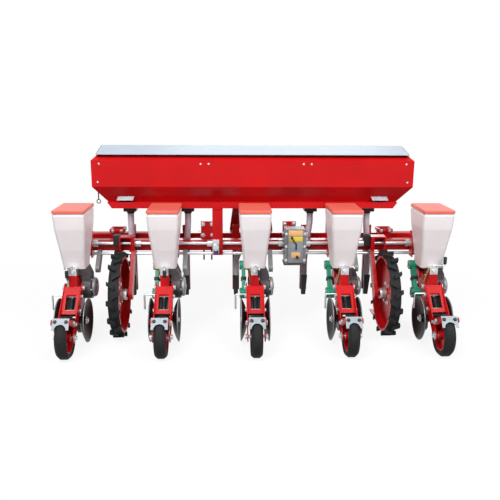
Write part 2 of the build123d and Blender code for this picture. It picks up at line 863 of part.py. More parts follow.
# Seed openers: a shoe held between the spine plates, its blade curving down to the tip
shoe_half = frame_half - frame_plate
shoe_rear = post_front + 2 * lug_root
with BuildPart() as seed_openers:
    with BuildSketch(*row_planes(-shoe_half)):
        with Locations((shoe_rear, frame_bottom)):
            Rectangle(post_size + disc_hub_r, 2 * disc_hub_r, align=Align.MIN)
    extrude(amount=2 * shoe_half)
    with BuildSketch(*row_planes(-opener_blade / 2)):
        with BuildLine():
            shoe_front = shoe_rear + 2 * post_size + 2 * disc_hub_r
            Polyline(
                (shoe_front, frame_bottom),
                (shoe_rear, frame_bottom),
                (shoe_rear, opener_tip_z + disc_hub_r),
                (shoe_rear + disc_hub_r, opener_tip_z),
                (shoe_front - 2 * disc_hub_r, opener_tip_z),
            )
            RadiusArc(
                (shoe_front - 2 * disc_hub_r, opener_tip_z),
                (shoe_front, frame_bottom),
                -(frame_bottom - opener_tip_z),
            )
        make_face()
    extrude(amount=opener_blade)
save(seed_openers.part, "seed_openers")

# Seed meters: a vertical disc housing with a square neck up to the funnel
meter_y = hopper_y
with BuildPart() as seed_meters:
    with BuildSketch(*row_planes(meter_inner_x)):
        with Locations((meter_y, meter_z)):
            Circle(meter_r)
        with Locations((meter_y, funnel_bottom_z)):
            Rectangle(meter_neck, funnel_bottom_z - meter_z, align=(Align.CENTER, Align.MAX))
    extrude(amount=meter_width)
    with BuildSketch(*row_planes(frame_half)):
        with Locations((meter_y, meter_z)):
            Circle(meter_r / 2)
    extrude(amount=meter_inner_x - frame_half)
save(seed_meters.part, "seed_meters")

# Funnels: from the hopper's square neck across to the meter's neck
with BuildPart() as meter_funnels:
    for x in row_xs:
        with BuildSketch(Plane.XY.offset(funnel_bottom_z)):
            with Locations((x + meter_inner_x + meter_width / 2, meter_y)):
                Rectangle(meter_width, meter_neck)
        with BuildSketch(Plane.XY.offset(hopper_neck_z)):
            with Locations((x, hopper_y)):
                Rectangle(hopper_neck[0], hopper_neck[1])
        loft(ruled=True)
save(meter_funnels.part, "meter_funnels")

# Seed hoppers: bellied walls that narrow to the neck, with a rim that the lid fits over
hopper_outside = (
    (hopper_neck_z, *hopper_neck),
    (hopper_waist_z, *hopper_waist),
    (hopper_belly_z, *hopper_belly),
    (hopper_rim_z, hopper_rim[0] + 2 * hopper_wall, hopper_rim[1] + 2 * hopper_wall),
)
hopper_mouth = (hopper_rim[0] - 2 * hopper_wall, hopper_rim[1] - 2 * hopper_wall)
hopper_inside = [(z, width - 2 * hopper_wall, depth - 2 * hopper_wall) for z, width, depth in hopper_outside[:-1]]
hopper_inside.append((hopper_rim_z, *hopper_mouth))
with BuildPart() as seed_hoppers:
    for levels, rim, corner, mode in (
        (hopper_outside, hopper_rim, hopper_corner, Mode.ADD),
        (hopper_inside, hopper_mouth, hopper_corner - hopper_wall, Mode.SUBTRACT),
    ):
        for x in row_xs:
            for height, width, depth in levels:
                with BuildSketch(Plane.XY.offset(height)):
                    with Locations((x, hopper_y)):
                        RectangleRounded(width, depth, corner)
            loft(ruled=True, mode=mode)
            with BuildSketch(Plane.XY.offset(hopper_rim_z)):
                with Locations((x, hopper_y)):
                    RectangleRounded(rim[0], rim[1], corner)
            extrude(amount=hopper_top_z - hopper_rim_z, mode=mode)
    hopper_front = hopper_y + hopper_rim[1] / 2
    for x in (-hinge_spread - hinge_width / 2 - bracket_plate, hinge_spread + hinge_width / 2 + running_gap):
        with BuildSketch(*row_planes(x)):
            with Locations((hopper_front - hopper_wall, hinge_z - hinge_drop)):
                Rectangle(hopper_wall, hinge_drop, align=(Align.MIN, Align.MAX))
            with Locations((hinge_y, hinge_z)):
                Circle(hinge_r)
            make_hull()
        extrude(amount=bracket_plate - running_gap)
    with BuildSketch(*row_planes(-hinge_spread - hinge_width / 2 - bracket_plate / 2)):
        with Locations((hinge_y, hinge_z)):
            Circle(hinge_pin_r)
    extrude(amount=2 * hinge_spread + hinge_width + bracket_plate)
save(seed_hoppers.part, "seed_hoppers")

# Seed lids: a shallow cap over the hopper's rim, hinged along its front edge
lid_under_z = hopper_top_z + lid_seat_gap
lid_bottom_z = lid_under_z + lid_wall - lid_height
for i, x in enumerate(row_xs):
    with BuildPart() as seed_lid:
        with BuildSketch(Plane.XY.offset(lid_bottom_z)):
            with Locations((x, hopper_y)):
                RectangleRounded(lid_size[0], lid_size[1], hopper_corner)
        extrude(amount=lid_height)
        chamfer(seed_lid.faces().sort_by(Axis.Z)[-1].edges(), lid_edge)
        with BuildSketch(Plane.XY.offset(lid_bottom_z)):
            with Locations((x, hopper_y)):
                RectangleRounded(lid_size[0] - 2 * lid_wall, lid_size[1] - 2 * lid_wall, hopper_corner - lid_wall)
        extrude(amount=lid_height - lid_wall, mode=Mode.SUBTRACT)
        with BuildSketch(
            Plane.YZ.offset(x - hinge_spread - hinge_width / 2),
            Plane.YZ.offset(x + hinge_spread - hinge_width / 2),
        ):
            with Locations((hinge_y, hinge_z)):
                Circle(hinge_r)
            with Locations((hinge_y, hinge_z)):
                Rectangle(hinge_r + 2 * hinge_gap, hinge_r, align=(Align.MAX, Align.MIN))
            with Locations((hinge_y, hinge_z)):
                Circle(hinge_pin_r + running_gap, mode=Mode.SUBTRACT)
        extrude(amount=hinge_width)
    save(seed_lid.part, "seed_lid_" + str(i + 1))

# Chain cases: a silver one from the lower shaft to the meter, a green one on the meter's other side
case_x = meter_inner_x + meter_width + case_gap
with BuildPart() as shaft_cases:
    with BuildSketch(*row_planes(case_x)):
        for forward, rise, radius in shaft_case:
            with Locations((shaft_y + forward, shaft_z[0] + rise)):
                Circle(radius)
        make_hull()
        with Locations((shaft_y, shaft_z[0])):
            Circle(shaft_r + running_gap, mode=Mode.SUBTRACT)
    extrude(amount=case_width)
save(shaft_cases.part, "shaft_cases")

with BuildPart() as green_cases:
    case_out = -green_case_x - green_case_width
    for forward, height, radius in green_case:
        with BuildSketch(*row_planes(case_out)):
            with Locations((press_y + forward, height)):
                Circle(radius)
        extrude(amount=green_case_width)
    with BuildSketch(*row_planes(case_out + green_case_width / 4)):
        plate_round(*[(forward, height, green_case_waist) for forward, height, radius in green_case])
    extrude(amount=green_case_width / 2)
    with BuildSketch(*row_planes(-green_case_x)):
        with Locations((press_y + green_case[1][0], green_case[1][1])):
            Circle(green_case_waist)
    extrude(amount=green_case_x - frame_half)
save(green_cases.part, "green_cases")

# Depth posts with their screw blocks and cranks
with BuildPart() as depth_posts:
    with BuildSketch(Plane.XY.offset(post_bottom)):
        with Locations(*[(x, post_y) for x in row_xs]):
            Rectangle(post_size, post_size)
    extrude(amount=post_top - post_bottom)
    with BuildSketch(*row_planes(-fork_half)):
        with Locations((press_y + fork_top[0], fork_top[1])):
            Circle(pivot_r + running_gap)
    extrude(amount=2 * fork_half, mode=Mode.SUBTRACT)
save(depth_posts.part, "depth_posts")

with BuildPart() as depth_cranks:
    with BuildSketch(Plane.XY.offset(post_top)):
        with Locations(*[(x, post_y) for x in row_xs]):
            Rectangle(block_size, block_size)
    extrude(amount=block_height)
    for x, (turn, hand) in zip(row_xs, crank_poses):
        out = (cos(radians(turn)), sin(radians(turn)))
        block_top = post_top + block_height
        arm_z = block_top + crank_rise
        arm_end = (x + out[0] * crank_throw, post_y + out[1] * crank_throw)
        with BuildLine() as crank_line:
            FilletPolyline(
                (x, post_y, block_top),
                (x, post_y, arm_z),
                (*arm_end, arm_z),
                (*arm_end, arm_z + hand * crank_handle),
                radius=2 * crank_r,
            )
        with BuildSketch(Plane.XY.offset(block_top)):
            with Locations((x, post_y)):
                Circle(crank_r)
        sweep(path=crank_line.wires()[0])
save(depth_cranks.part, "depth_cranks")

# Places of the press spring's cross pins, and the pins that pass through each fork
spring_low, spring_high = spring_ends
spring_run = sqrt((spring_high[0] - spring_low[0]) ** 2 + (spring_high[1] - spring_low[1]) ** 2)
spring_way = ((spring_high[0] - spring_low[0]) / spring_run, (spring_high[1] - spring_low[1]) / spring_run)
pin_set = spring_pin_r + running_gap
fork_pins = (
    (0, press_z, press_axle_r),
    (fork_top[0], fork_top[1], pivot_r),
    (spring_low[0] - pin_set * spring_way[0], spring_low[1] - pin_set * spring_way[1], spring_pin_r),
    (spring_high[0] + pin_set * spring_way[0], spring_high[1] + pin_set * spring_way[1], spring_pin_r),
)

# Press frames: fork plates beside the press wheel, joined by a sloping plate with a window
with BuildPart() as press_frames:
    fork_planes = row_planes(fork_in) + row_planes(-fork_half)
    with BuildSketch(*fork_planes):
        plate_round(fork_top, (0, press_z, fork_axle_r))
    extrude(amount=fork_plate)
    with BuildSketch(*fork_planes):
        plate_round(fork_lug, fork_heel)
    extrude(amount=fork_plate)
    with BuildSketch(*row_planes(-fork_half)):
        with BuildLine():
            Polyline(
                (press_y + web_top[0], web_top[1]),
                (press_y + web_top[0] + web_plate, web_top[1] - web_plate),
                (press_y + web_end[0] + web_plate, web_end[1] - web_plate),
                (press_y + web_end[0], web_end[1]),
                close=True,
            )
        make_face()
    extrude(amount=2 * fork_half)
    with BuildSketch(Plane.XY):
        with Locations(*[(x, press_y + sum(window_span) / 2) for x in row_xs]):
            Rectangle(window_width, window_span[1] - window_span[0])
    extrude(amount=bar_z, mode=Mode.SUBTRACT)
    for forward, height, radius in fork_pins:
        with BuildSketch(*row_planes(-fork_half)):
            with Locations((press_y + forward, height)):
                Circle(radius + running_gap)
        extrude(amount=2 * fork_half, mode=Mode.SUBTRACT)
save(press_frames.part, "press_frames")

# Row rods: press wheel axles, fork pivots, spring pins and bent levers
with BuildPart() as row_rods:
    for forward, height, radius in fork_pins:
        with BuildSketch(*row_planes(-fork_half - fork_plate)):
            with Locations((press_y + forward, height)):
                Circle(radius)
        extrude(amount=2 * fork_half + 2 * fork_plate)
    for x in row_xs:
        lever_y = press_y + lever_start[0]
        with BuildLine() as lever_line:
            FilletPolyline(
                (x - fork_half, lever_y, lever_start[1]),
                (x - lever_reach, lever_y, lever_start[1]),
                (x - lever_reach, lever_y, lever_start[1] - lever_drop),
                radius=2 * lever_r,
            )
        with BuildSketch(Plane(origin=(x - fork_half, lever_y, lever_start[1]), z_dir=(-1, 0, 0))):
            Circle(lever_r)
        sweep(path=lever_line.wires()[0])
save(row_rods.part, "row_rods")

# Press springs under the windows, turned as grooved barrels
with BuildPart() as press_springs:
    for x in row_xs:
        low = (x, press_y + spring_low[0], spring_low[1])
        coil = spring_run / spring_coils
        outline = [(0, 0), (0, spring_r - spring_groove)]
        for i in range(spring_coils):
            outline += [((i + 0.5) * coil, spring_r), ((i + 1) * coil, spring_r - spring_groove)]
        outline += [(spring_run, 0)]
        side = Plane(origin=low, x_dir=(0, spring_way[0], spring_way[1]), z_dir=(1, 0, 0))
        with BuildSketch(side):
            with BuildLine():
                Polyline(*outline, close=True)
            make_face()
        revolve(axis=Axis(low, (0, spring_way[0], spring_way[1])))
save(press_springs.part, "press_springs")

# Scrapers across the fork, just clear of the tyre's upper rear
with BuildPart() as scrapers:
    with BuildSketch(*row_planes(-fork_in)):
        with BuildLine():
            Line(
                (press_y + scraper_ends[0][0], scraper_ends[0][1]),
                (press_y + scraper_ends[1][0], scraper_ends[1][1]),
            )
            offset(amount=scraper_sheet, side=Side.LEFT)
        make_face()
    extrude(amount=2 * fork_in)
    scraper_low = scraper_ends[1]
    scraper_fall = (scraper_low[0] - scraper_ends[0][0], scraper_low[1] - scraper_ends[0][1])
    arch_planes = []
    for x in row_xs:
        foot = (x, press_y + scraper_low[0], scraper_low[1])
        arch_planes.append(Plane(origin=foot, x_dir=(1, 0, 0), z_dir=(0, scraper_fall[1], -scraper_fall[0])))
    with BuildSketch(*arch_planes):
        Circle(scraper_arch_r)
    extrude(amount=2 * scraper_sheet, both=True, mode=Mode.SUBTRACT)
save(scrapers.part, "scrapers")

# Press wheels: rim with web and hub, and a crowned rubber tyre
for i, x in enumerate(row_xs):
    axle_line = Axis((x, press_y, press_z), (1, 0, 0))
    rim_half = press_rim_width / 2
    with BuildPart() as press_rim:
        with BuildSketch(Plane((x, press_y, press_z))):
            with BuildLine():
                Polyline(
                    (-press_hub_width / 2, press_axle_r + running_gap),
                    (-press_hub_width / 2, press_hub_r),
                    (-press_rim_wall, press_hub_r),
                    (-press_rim_wall, press_rim_r - press_rim_wall),
                    (-rim_half, press_rim_r - press_rim_wall),
                    (-rim_half, press_rim_r),
                    (rim_half, press_rim_r),
                    (rim_half, press_rim_r - press_rim_wall),
                    (press_rim_wall, press_rim_r - press_rim_wall),
                    (press_rim_wall, press_hub_r),
                    (press_hub_width / 2, press_hub_r),
                    (press_hub_width / 2, press_axle_r + running_gap),
                    close=True,
                )
            make_face()
        revolve(axis=axle_line)
    save(press_rim.part, "press_rim_" + str(i + 1))

    crown = press_dia / 2 - press_crown
    with BuildPart() as press_tyre:
        with BuildSketch(Plane((x, press_y, press_z))):
            with BuildLine():
                Polyline(
                    (-rim_half, press_rim_r + running_gap),
                    (-press_width / 2, press_rim_r + 2 * press_crown),
                    (-press_width / 2, crown - press_crown),
                    (-press_width / 2 + press_crown, crown),
                    (-press_width / 4, press_dia / 2),
                    (press_width / 4, press_dia / 2),
                    (press_width / 2 - press_crown, crown),
                    (press_width / 2, crown - press_crown),
                    (press_width / 2, press_rim_r + 2 * press_crown),
                    (rim_half, press_rim_r + running_gap),
                    close=True,
                )
            make_face()
        revolve(axis=axle_line)
    save(press_tyre.part, "press_tyre_" + str(i + 1))

# Covering discs: two dished blades on one axle, hollow side out
disc_curve = (disc_r ** 2 + disc_dish ** 2) / (2 * disc_dish)
disc_apex = disc_rim_x - disc_dish
for i, x in enumerate(row_xs):
    axle_line = Axis((x, disc_y, disc_z), (1, 0, 0))
    with BuildPart() as disc_pair:
        with BuildSketch(Plane((x, disc_y, disc_z))):
            for side in (-1, 1):
                inner = side * (disc_apex - disc_sheet)
                inner_rim = (side * (disc_rim_x - disc_sheet), disc_r)
                with BuildLine():
                    Line((side * disc_apex, 0), (inner, 0))
                    RadiusArc((inner, 0), inner_rim, side * (disc_curve + disc_sheet))
                    Line(inner_rim, (side * disc_rim_x, disc_r))
                    RadiusArc((side * disc_rim_x, disc_r), (side * disc_apex, 0), -side * disc_curve)
                make_face()
                with Locations((side * (frame_half + swing_gap), 0)):
                    Rectangle(disc_hub_end - frame_half - swing_gap, disc_hub_r,
                              align=(Align.MIN if side > 0 else Align.MAX, Align.MIN))
            Rectangle(2 * (frame_half + swing_gap), disc_axle_r, align=(Align.CENTER, Align.MIN))
        revolve(axis=axle_line)
    save(disc_pair.part, "disc_pair_" + str(i + 1))
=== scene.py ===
import json
from math import cos, pi, radians, sin

import bpy
from mathutils import Euler, Matrix, Vector


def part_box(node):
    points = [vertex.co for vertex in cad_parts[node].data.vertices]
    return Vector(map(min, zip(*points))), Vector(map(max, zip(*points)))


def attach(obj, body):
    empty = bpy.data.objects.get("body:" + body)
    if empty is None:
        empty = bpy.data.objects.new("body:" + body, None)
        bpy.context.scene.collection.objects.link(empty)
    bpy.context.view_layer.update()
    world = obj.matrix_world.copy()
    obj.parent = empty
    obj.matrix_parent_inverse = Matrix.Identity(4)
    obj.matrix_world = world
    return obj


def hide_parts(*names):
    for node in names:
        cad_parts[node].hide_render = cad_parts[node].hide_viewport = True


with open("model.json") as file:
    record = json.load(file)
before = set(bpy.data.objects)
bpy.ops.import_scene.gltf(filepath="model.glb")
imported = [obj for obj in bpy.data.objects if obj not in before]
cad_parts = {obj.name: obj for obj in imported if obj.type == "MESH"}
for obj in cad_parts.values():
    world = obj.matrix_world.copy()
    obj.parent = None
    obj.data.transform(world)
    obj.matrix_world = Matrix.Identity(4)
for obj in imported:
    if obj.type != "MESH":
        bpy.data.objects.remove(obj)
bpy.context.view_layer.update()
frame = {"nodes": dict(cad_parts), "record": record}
bpy.ops.object.select_all(action="DESELECT")
bpy.context.scene.view_settings.view_transform = "Standard"

ROWS = (1, 2, 3, 4, 5)
SIDES = (-1, 1)

# Colours, as linear values
RED = (0.53, 0.007, 0.009)
RED_DEEP = (0.47, 0.005, 0.007)
RUBBER = (0.011, 0.0115, 0.012)
RUBBER_DUSTY = (0.019, 0.02, 0.022)
ZINC = (0.66, 0.68, 0.7)
GALVANISED = (0.45, 0.52, 0.59)
BARE_SHEET = (0.31, 0.34, 0.37)
SALMON = (0.76, 0.16, 0.12)
GREEN = (0.02, 0.34, 0.19)
BLACK = (0.014, 0.014, 0.015)


def corners(node):
    """A node's lowest and highest corners."""
    low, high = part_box(node)
    return Vector(low), Vector(high)


def middle(node):
    """The middle of a node's box."""
    low, high = corners(node)
    return (low + high) / 2


# Materials


def shader(name):
    """A new material with its Principled shader, and the node that sees the piece's own coordinates."""
    material = bpy.data.materials.new(name)
    material.use_nodes = True
    nodes = material.node_tree.nodes
    return material, nodes["Principled BSDF"], nodes.new("ShaderNodeTexCoord")


def drifting_colour(material, place, first, second, size):
    """A noise that drifts between two colours over the piece; returns the noise and the colour ramp."""
    nodes = material.node_tree.nodes
    links = material.node_tree.links
    noise = nodes.new("ShaderNodeTexNoise")
    noise.inputs["Scale"].default_value = size
    noise.inputs["Detail"].default_value = 4
    ramp = nodes.new("ShaderNodeValToRGB")
    ramp.color_ramp.elements[0].position = 0.35
    ramp.color_ramp.elements[1].position = 0.68
    ramp.color_ramp.elements[0].color = (*first, 1)
    ramp.color_ramp.elements[1].color = (*second, 1)
    links.new(place.outputs["Object"], noise.inputs["Vector"])
    links.new(noise.outputs["Fac"], ramp.inputs["Fac"])
    return noise, ramp


def add_grain(material, surface, place, size, depth):
    """A fine uneven surface, depth metres deep."""
    nodes = material.node_tree.nodes
    links = material.node_tree.links
    fine = nodes.new("ShaderNodeTexNoise")
    fine.inputs["Scale"].default_value = size
    fine.inputs["Detail"].default_value = 3
    bump = nodes.new("ShaderNodeBump")
    bump.inputs["Strength"].default_value = 0.6
    bump.inputs["Distance"].default_value = depth
    links.new(place.outputs["Object"], fine.inputs["Vector"])
    links.new(fine.outputs["Fac"], bump.inputs["Height"])
    links.new(bump.outputs["Normal"], surface.inputs["Normal"])


def mottled(name, first, second, size, roughness, metallic=0.0, gloss=0.5, grain=(160, 0.0006)):
    """A finish whose colour and roughness drift a little over the piece, on a fine grain."""
    material, surface, place = shader(name)
    nodes = material.node_tree.nodes
    links = material.node_tree.links
    noise, ramp = drifting_colour(material, place, first, second, size)
    rough = nodes.new("ShaderNodeMapRange")
    rough.inputs["To Min"].default_value = roughness - 0.06
    rough.inputs["To Max"].default_value = roughness + 0.08
    links.new(noise.outputs["Fac"], rough.inputs["Value"])
    links.new(rough.outputs["Result"], surface.inputs["Roughness"])
    links.new(ramp.outputs["Color"], surface.inputs["Base Color"])
    surface.inputs["Metallic"].default_value = metallic
    surface.inputs["Specular IOR Level"].default_value = gloss
    add_grain(material, surface, place, *grain)
    return material


def milky_plastic(name, first, second, through):
    """Pale moulded plastic that lets some light into its wall."""
    material, surface, place = shader(name)
    noise, ramp = drifting_colour(material, place, first, second, 5)
    material.node_tree.links.new(ramp.outputs["Color"], surface.inputs["Base Color"])
    surface.inputs["Roughness"].default_value = 0.4
    surface.inputs["Subsurface Weight"].default_value = through
    surface.inputs["Subsurface Radius"].default_value = (0.03, 0.024, 0.024)
    surface.inputs["Subsurface Scale"].default_value = 0.5
    add_grain(material, surface, place, 220, 0.0004)
    return material


def worn_disc_steel(name, centre_y, centre_z, radius):
    """Black paint that soil has worn to bare steel along the blade's edge."""
    material, surface, place = shader(name)
    nodes = material.node_tree.nodes
    links = material.node_tree.links
    mapping = nodes.new("ShaderNodeMapping")
    mapping.inputs["Location"].default_value = (0, -centre_y / radius, -centre_z / radius)
    mapping.inputs["Scale"].default_value = (0, 1 / radius, 1 / radius)
    reach = nodes.new("ShaderNodeVectorMath")
    reach.operation = "LENGTH"
    ramp = nodes.new("ShaderNodeValToRGB")
    ramp.color_ramp.elements[0].position = 0.955
    ramp.color_ramp.elements[1].position = 0.985
    ramp.color_ramp.elements[0].color = (*BLACK, 1)
    ramp.color_ramp.elements[1].color = (0.26, 0.26, 0.27, 1)
    links.new(place.outputs["Object"], mapping.inputs["Vector"])
    links.new(mapping.outputs["Vector"], reach.inputs[0])
    links.new(reach.outputs["Value"], ramp.inputs["Fac"])
    links.new(ramp.outputs["Color"], surface.inputs["Base Color"])
    surface.inputs["Roughness"].default_value = 0.42
    surface.inputs["Metallic"].default_value = 0.2
    surface.inputs["Specular IOR Level"].default_value = 0.35
    add_grain(material, surface, place, 90, 0.0006)
    return material


red_paint = mottled("red_paint", RED_DEEP, RED, 3, 0.28, gloss=0.2, grain=(70, 0.0004))
wheel_red = mottled("wheel_red", RED_DEEP, RED, 5, 0.34, gloss=0.2, grain=(70, 0.0004))
galvanised = mottled("galvanised_sheet", (0.42, 0.49, 0.56), GALVANISED, 14, 0.42, metallic=0.1, gloss=0.25)
bare_sheet = mottled("bare_sheet", (0.25, 0.28, 0.31), BARE_SHEET, 30, 0.45, metallic=0.2, gloss=0.3)
zinc = mottled("zinc", (0.56, 0.58, 0.6), ZINC, 20, 0.32, metallic=0.8)
tyre_rubber = mottled("tyre_rubber", RUBBER, RUBBER_DUSTY, 12, 0.7, gloss=0.2, grain=(120, 0.0015))
black_plastic = mottled("black_plastic", BLACK, (0.025, 0.025, 0.027), 8, 0.5, gloss=0.3)
funnel_plastic = mottled("funnel_plastic", (0.065, 0.056, 0.06), (0.095, 0.084, 0.088), 8, 0.5, gloss=0.3)
meter_plastic = mottled("meter_plastic", (0.05, 0.044, 0.048), (0.085, 0.078, 0.082), 16, 0.5, gloss=0.3)
meter_alloy = mottled(
    "meter_alloy", (0.24, 0.25, 0.26), (0.32, 0.33, 0.34), 18, 0.45, metallic=0.4, grain=(240, 0.0012)
)
gear_alloy = mottled(
    "gear_alloy", (0.18, 0.185, 0.19), (0.24, 0.245, 0.25), 18, 0.4, metallic=0.3, grain=(240, 0.001)
)
green_paint = mottled("green_paint", (0.015, 0.27, 0.15), GREEN, 10, 0.34, gloss=0.35, grain=(90, 0.0006))
black_steel = mottled("black_steel", BLACK, (0.022, 0.022, 0.023), 10, 0.42, gloss=0.35)
orange_plate = mottled("orange_plate", (0.78, 0.43, 0.19), (0.82, 0.49, 0.24), 6, 0.4)
yellow_plate = mottled("yellow_plate", (0.72, 0.56, 0.05), (0.78, 0.62, 0.08), 6, 0.4)
depth_yellow = mottled("depth_yellow", (0.5, 0.33, 0.06), (0.58, 0.4, 0.1), 12, 0.45)
cap_blue = mottled("cap_blue", (0.02, 0.06, 0.3), (0.03, 0.08, 0.36), 12, 0.35)
hopper_plastic = milky_plastic("hopper_plastic", (0.9, 0.815, 0.83), (0.92, 0.845, 0.86), 0.2)
hose_plastic = milky_plastic("hose_plastic", (0.66, 0.64, 0.73), (0.74, 0.72, 0.8), 0.4)
lid_plastic = mottled("lid_plastic", (0.71, 0.14, 0.1), SALMON, 6, 0.34, gloss=0.35)

FINISHES = {
    "red_paint": red_paint,
    "wheel_red": wheel_red,
    "galvanised_sheet": galvanised,
    "zinc": zinc,
    "tyre_rubber": tyre_rubber,
    "black_plastic": black_plastic,
    "hopper_plastic": hopper_plastic,
    "lid_plastic": lid_plastic,
    "hose_plastic": hose_plastic,
    "funnel_plastic": funnel_plastic,
    "meter_alloy": meter_alloy,
    "green_paint": green_paint,
    "black_steel": black_steel,
}

# Nodes whose finish differs from their slot's
NODE_FINISHES = {"scrapers": bare_sheet, "seed_meters": meter_plastic, "gearbox": gear_alloy}

disc_low, disc_high = corners("disc_pair_1")
disc_centre = (disc_low + disc_high) / 2
disc_steel = worn_disc_steel("disc_steel", disc_centre.y, disc_centre.z, (disc_high.z - disc_low.z) / 2)

for part in frame["record"]["subparts"]:
    node = frame["nodes"][part["node"]]
    finish = FINISHES[part["material_slot"]]
    if part["node"].startswith("disc_pair"):
        finish = disc_steel
    if part["node"] in NODE_FINISHES:
        finish = NODE_FINISHES[part["node"]]
    for slot in node.material_slots:
        slot.material = finish


# Modelling helpers


def take(*objects):
    """Selects these objects alone, the first of them active."""
    bpy.ops.object.select_all(action="DESELECT")
    for piece in objects:
        piece.select_set(True)
    bpy.context.view_layer.objects.active = objects[0]


def round_edges(piece, width, segments=2):
    """Rounds a piece's sharp edges."""
    take(piece)
    bevel = piece.modifiers.new("edges", "BEVEL")
    bevel.width = width
    bevel.segments = segments
    bevel.limit_method = "ANGLE"
    bevel.angle_limit = radians(40)
    bpy.ops.object.modifier_apply(modifier="edges")


def joined(*pieces):
    """Joins pieces into the first of them."""
    take(*pieces)
    bpy.ops.object.join()
    return pieces[0]


def post_round(radius, height, base=0.0, sides=24):
    """A round or many-sided post that stands on z = base."""
    bpy.ops.object.select_all(action="DESELECT")
    centre = (0, 0, base + height / 2)
    bpy.ops.mesh.primitive_cylinder_add(vertices=sides, radius=radius, depth=height, location=centre)
    post = bpy.context.object
    bpy.ops.object.transform_apply(location=True)
    return post


def slab(width, depth, height, edge):
    """A plate that stands on z = 0 with rounded edges."""
    bpy.ops.object.select_all(action="DESELECT")
    bpy.ops.mesh.primitive_cube_add(size=1, location=(0, 0, height / 2))
    plate = bpy.context.object
    plate.scale = (width, depth, height)
    bpy.ops.object.transform_apply(location=True, scale=True)
    round_edges(plate, edge)
    return plate


def hex_bolt(radius, height):
    """A hexagon head with softened corners on a round washer."""
    washer_height = 0.2 * radius
    head = post_round(radius, height, washer_height, 6)
    round_edges(head, 0.1 * radius)
    washer = post_round(1.35 * radius, washer_height)
    round_edges(washer, 0.05 * radius, 1)
    return joined(head, washer)


def square_ring(outer, inner, height, edge):
    """A square collar that stands on z = 0."""
    bpy.ops.object.select_all(action="DESELECT")
    bpy.ops.mesh.primitive_plane_add(size=outer)
    ring = bpy.context.object
    bpy.ops.object.mode_set(mode="EDIT")
    bpy.ops.mesh.select_all(action="SELECT")
    bpy.ops.mesh.inset(thickness=(outer - inner) / 2)
    bpy.ops.mesh.delete(type="FACE")
    bpy.ops.mesh.select_all(action="SELECT")
    bpy.ops.mesh.extrude_region_move(TRANSFORM_OT_translate={"value": (0, 0, height)})
    bpy.ops.mesh.select_all(action="SELECT")
    bpy.ops.mesh.normals_make_consistent(inside=False)
    bpy.ops.object.mode_set(mode="OBJECT")
    round_edges(ring, edge)
    return ring


def copies(seed, places):
    """Copies of a seed, each with its own mesh, at (point, outward direction) places, joined."""
    made = [seed]
    while len(made) < len(places):
        take(seed)
        bpy.ops.object.duplicate(linked=False)
        made.append(bpy.context.object)
    for piece, (point, way) in zip(made, places):
        piece.rotation_euler = Vector(way).to_track_quat("Z", "Y").to_euler()
        piece.location = point
    return joined(*made)


def fit(piece, name, body, finish, smooth=35):
    """Names a finished piece, puts its place in its mesh, and gives it its finish and its body."""
    piece.name = name
    piece.data.name = name
    take(piece)
    bpy.ops.object.transform_apply(location=True, rotation=True, scale=True)
    bpy.ops.object.shade_smooth_by_angle(angle=radians(smooth))
    piece.data.materials.clear()
    piece.data.materials.append(finish)
    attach(piece, body)
    return piece


def bolts(name, size, places, body="machine", finish=zinc):
    """Bolt heads of one (radius, height) at a set of places, as one piece."""
    return fit(copies(hex_bolt(*size), places), name, body, finish)


# Places read from the frame
row_x = {row: middle("press_tyre_%d" % row).x for row in ROWS}
press_axle = middle("press_tyre_1")
press_y = press_axle.y
bar_low, bar_high = corners("rear_toolbar")

# Bolt heads and nuts: radius and height
PRESS_AXLE_NUT = (0.017, 0.012)
FORK_PIVOT_NUT = (0.016, 0.011)
SPRING_PIN_NUT = (0.013, 0.009)
SCRAPER_BOLT = (0.009, 0.007)
FORK_BOLT = (0.01, 0.008)
BLOCK_BOLT = (0.013, 0.012)
CASE_BOLT = (0.005, 0.004)
METER_SCREW = (0.0055, 0.005)
DISC_NUT = (0.017, 0.012)
BRACKET_NUT = (0.014, 0.012)
CLAMP_BOLT = (0.012, 0.01)
SLEEVE_BOLT = (0.009, 0.008)
SEAM_BOLT = (0.005, 0.004)
GEAR_BOLT = (0.008, 0.007)
FLANGE_BOLT = (0.012, 0.014)
HUB_BOLT = (0.011, 0.009)
DRIVE_AXLE_NUT = (0.024, 0.014)

# Rounding of thin sheet edges and of rod ends
SHEET_EDGE = 0.001
ROD_EDGE = 0.001

FORK_HALF = 0.058


def beside_rows(*spots):
    """Places on both outer faces of every fork, at (forward of the press axle, height) spots."""
    places = []
    for forward, height in spots:
        for row in ROWS:
            for side in SIDES:
                point = (row_x[row] + side * FORK_HALF, press_y + forward, height)
                places.append((point, (side, 0, 0)))
    return places


def at_rows(across, y, z, way):
    """The same place in every row, across from the row's middle."""
    return [((row_x[row] + across, y, z), way) for row in ROWS]


def circle_places(count, radius, centre, side, start=0.0):
    """Places on a circle that faces left or right."""
    x, y, z = centre
    places = []
    for i in range(count):
        turn = start + 2 * pi * i / count
        places.append(((x, y + radius * cos(turn), z + radius * sin(turn)), (side, 0, 0)))
    return places


# Row units: nuts on the fork's pins, scraper bolts and the bolts over the press wheel's axle
FORK_PIVOT = (0.29, 0.372)
SPRING_PINS = ((0.1723, 0.2519), (0.2417, 0.3261))
FORK_BOLT_ARC = ((-0.004, 0.236), (0.02, 0.214), (0.052, 0.206))
bolts("press_axle_nuts", PRESS_AXLE_NUT, beside_rows((0, press_axle.z)))
bolts("fork_pivot_nuts", FORK_PIVOT_NUT, beside_rows(FORK_PIVOT))
bolts("spring_pin_nuts", SPRING_PIN_NUT, beside_rows(*SPRING_PINS))

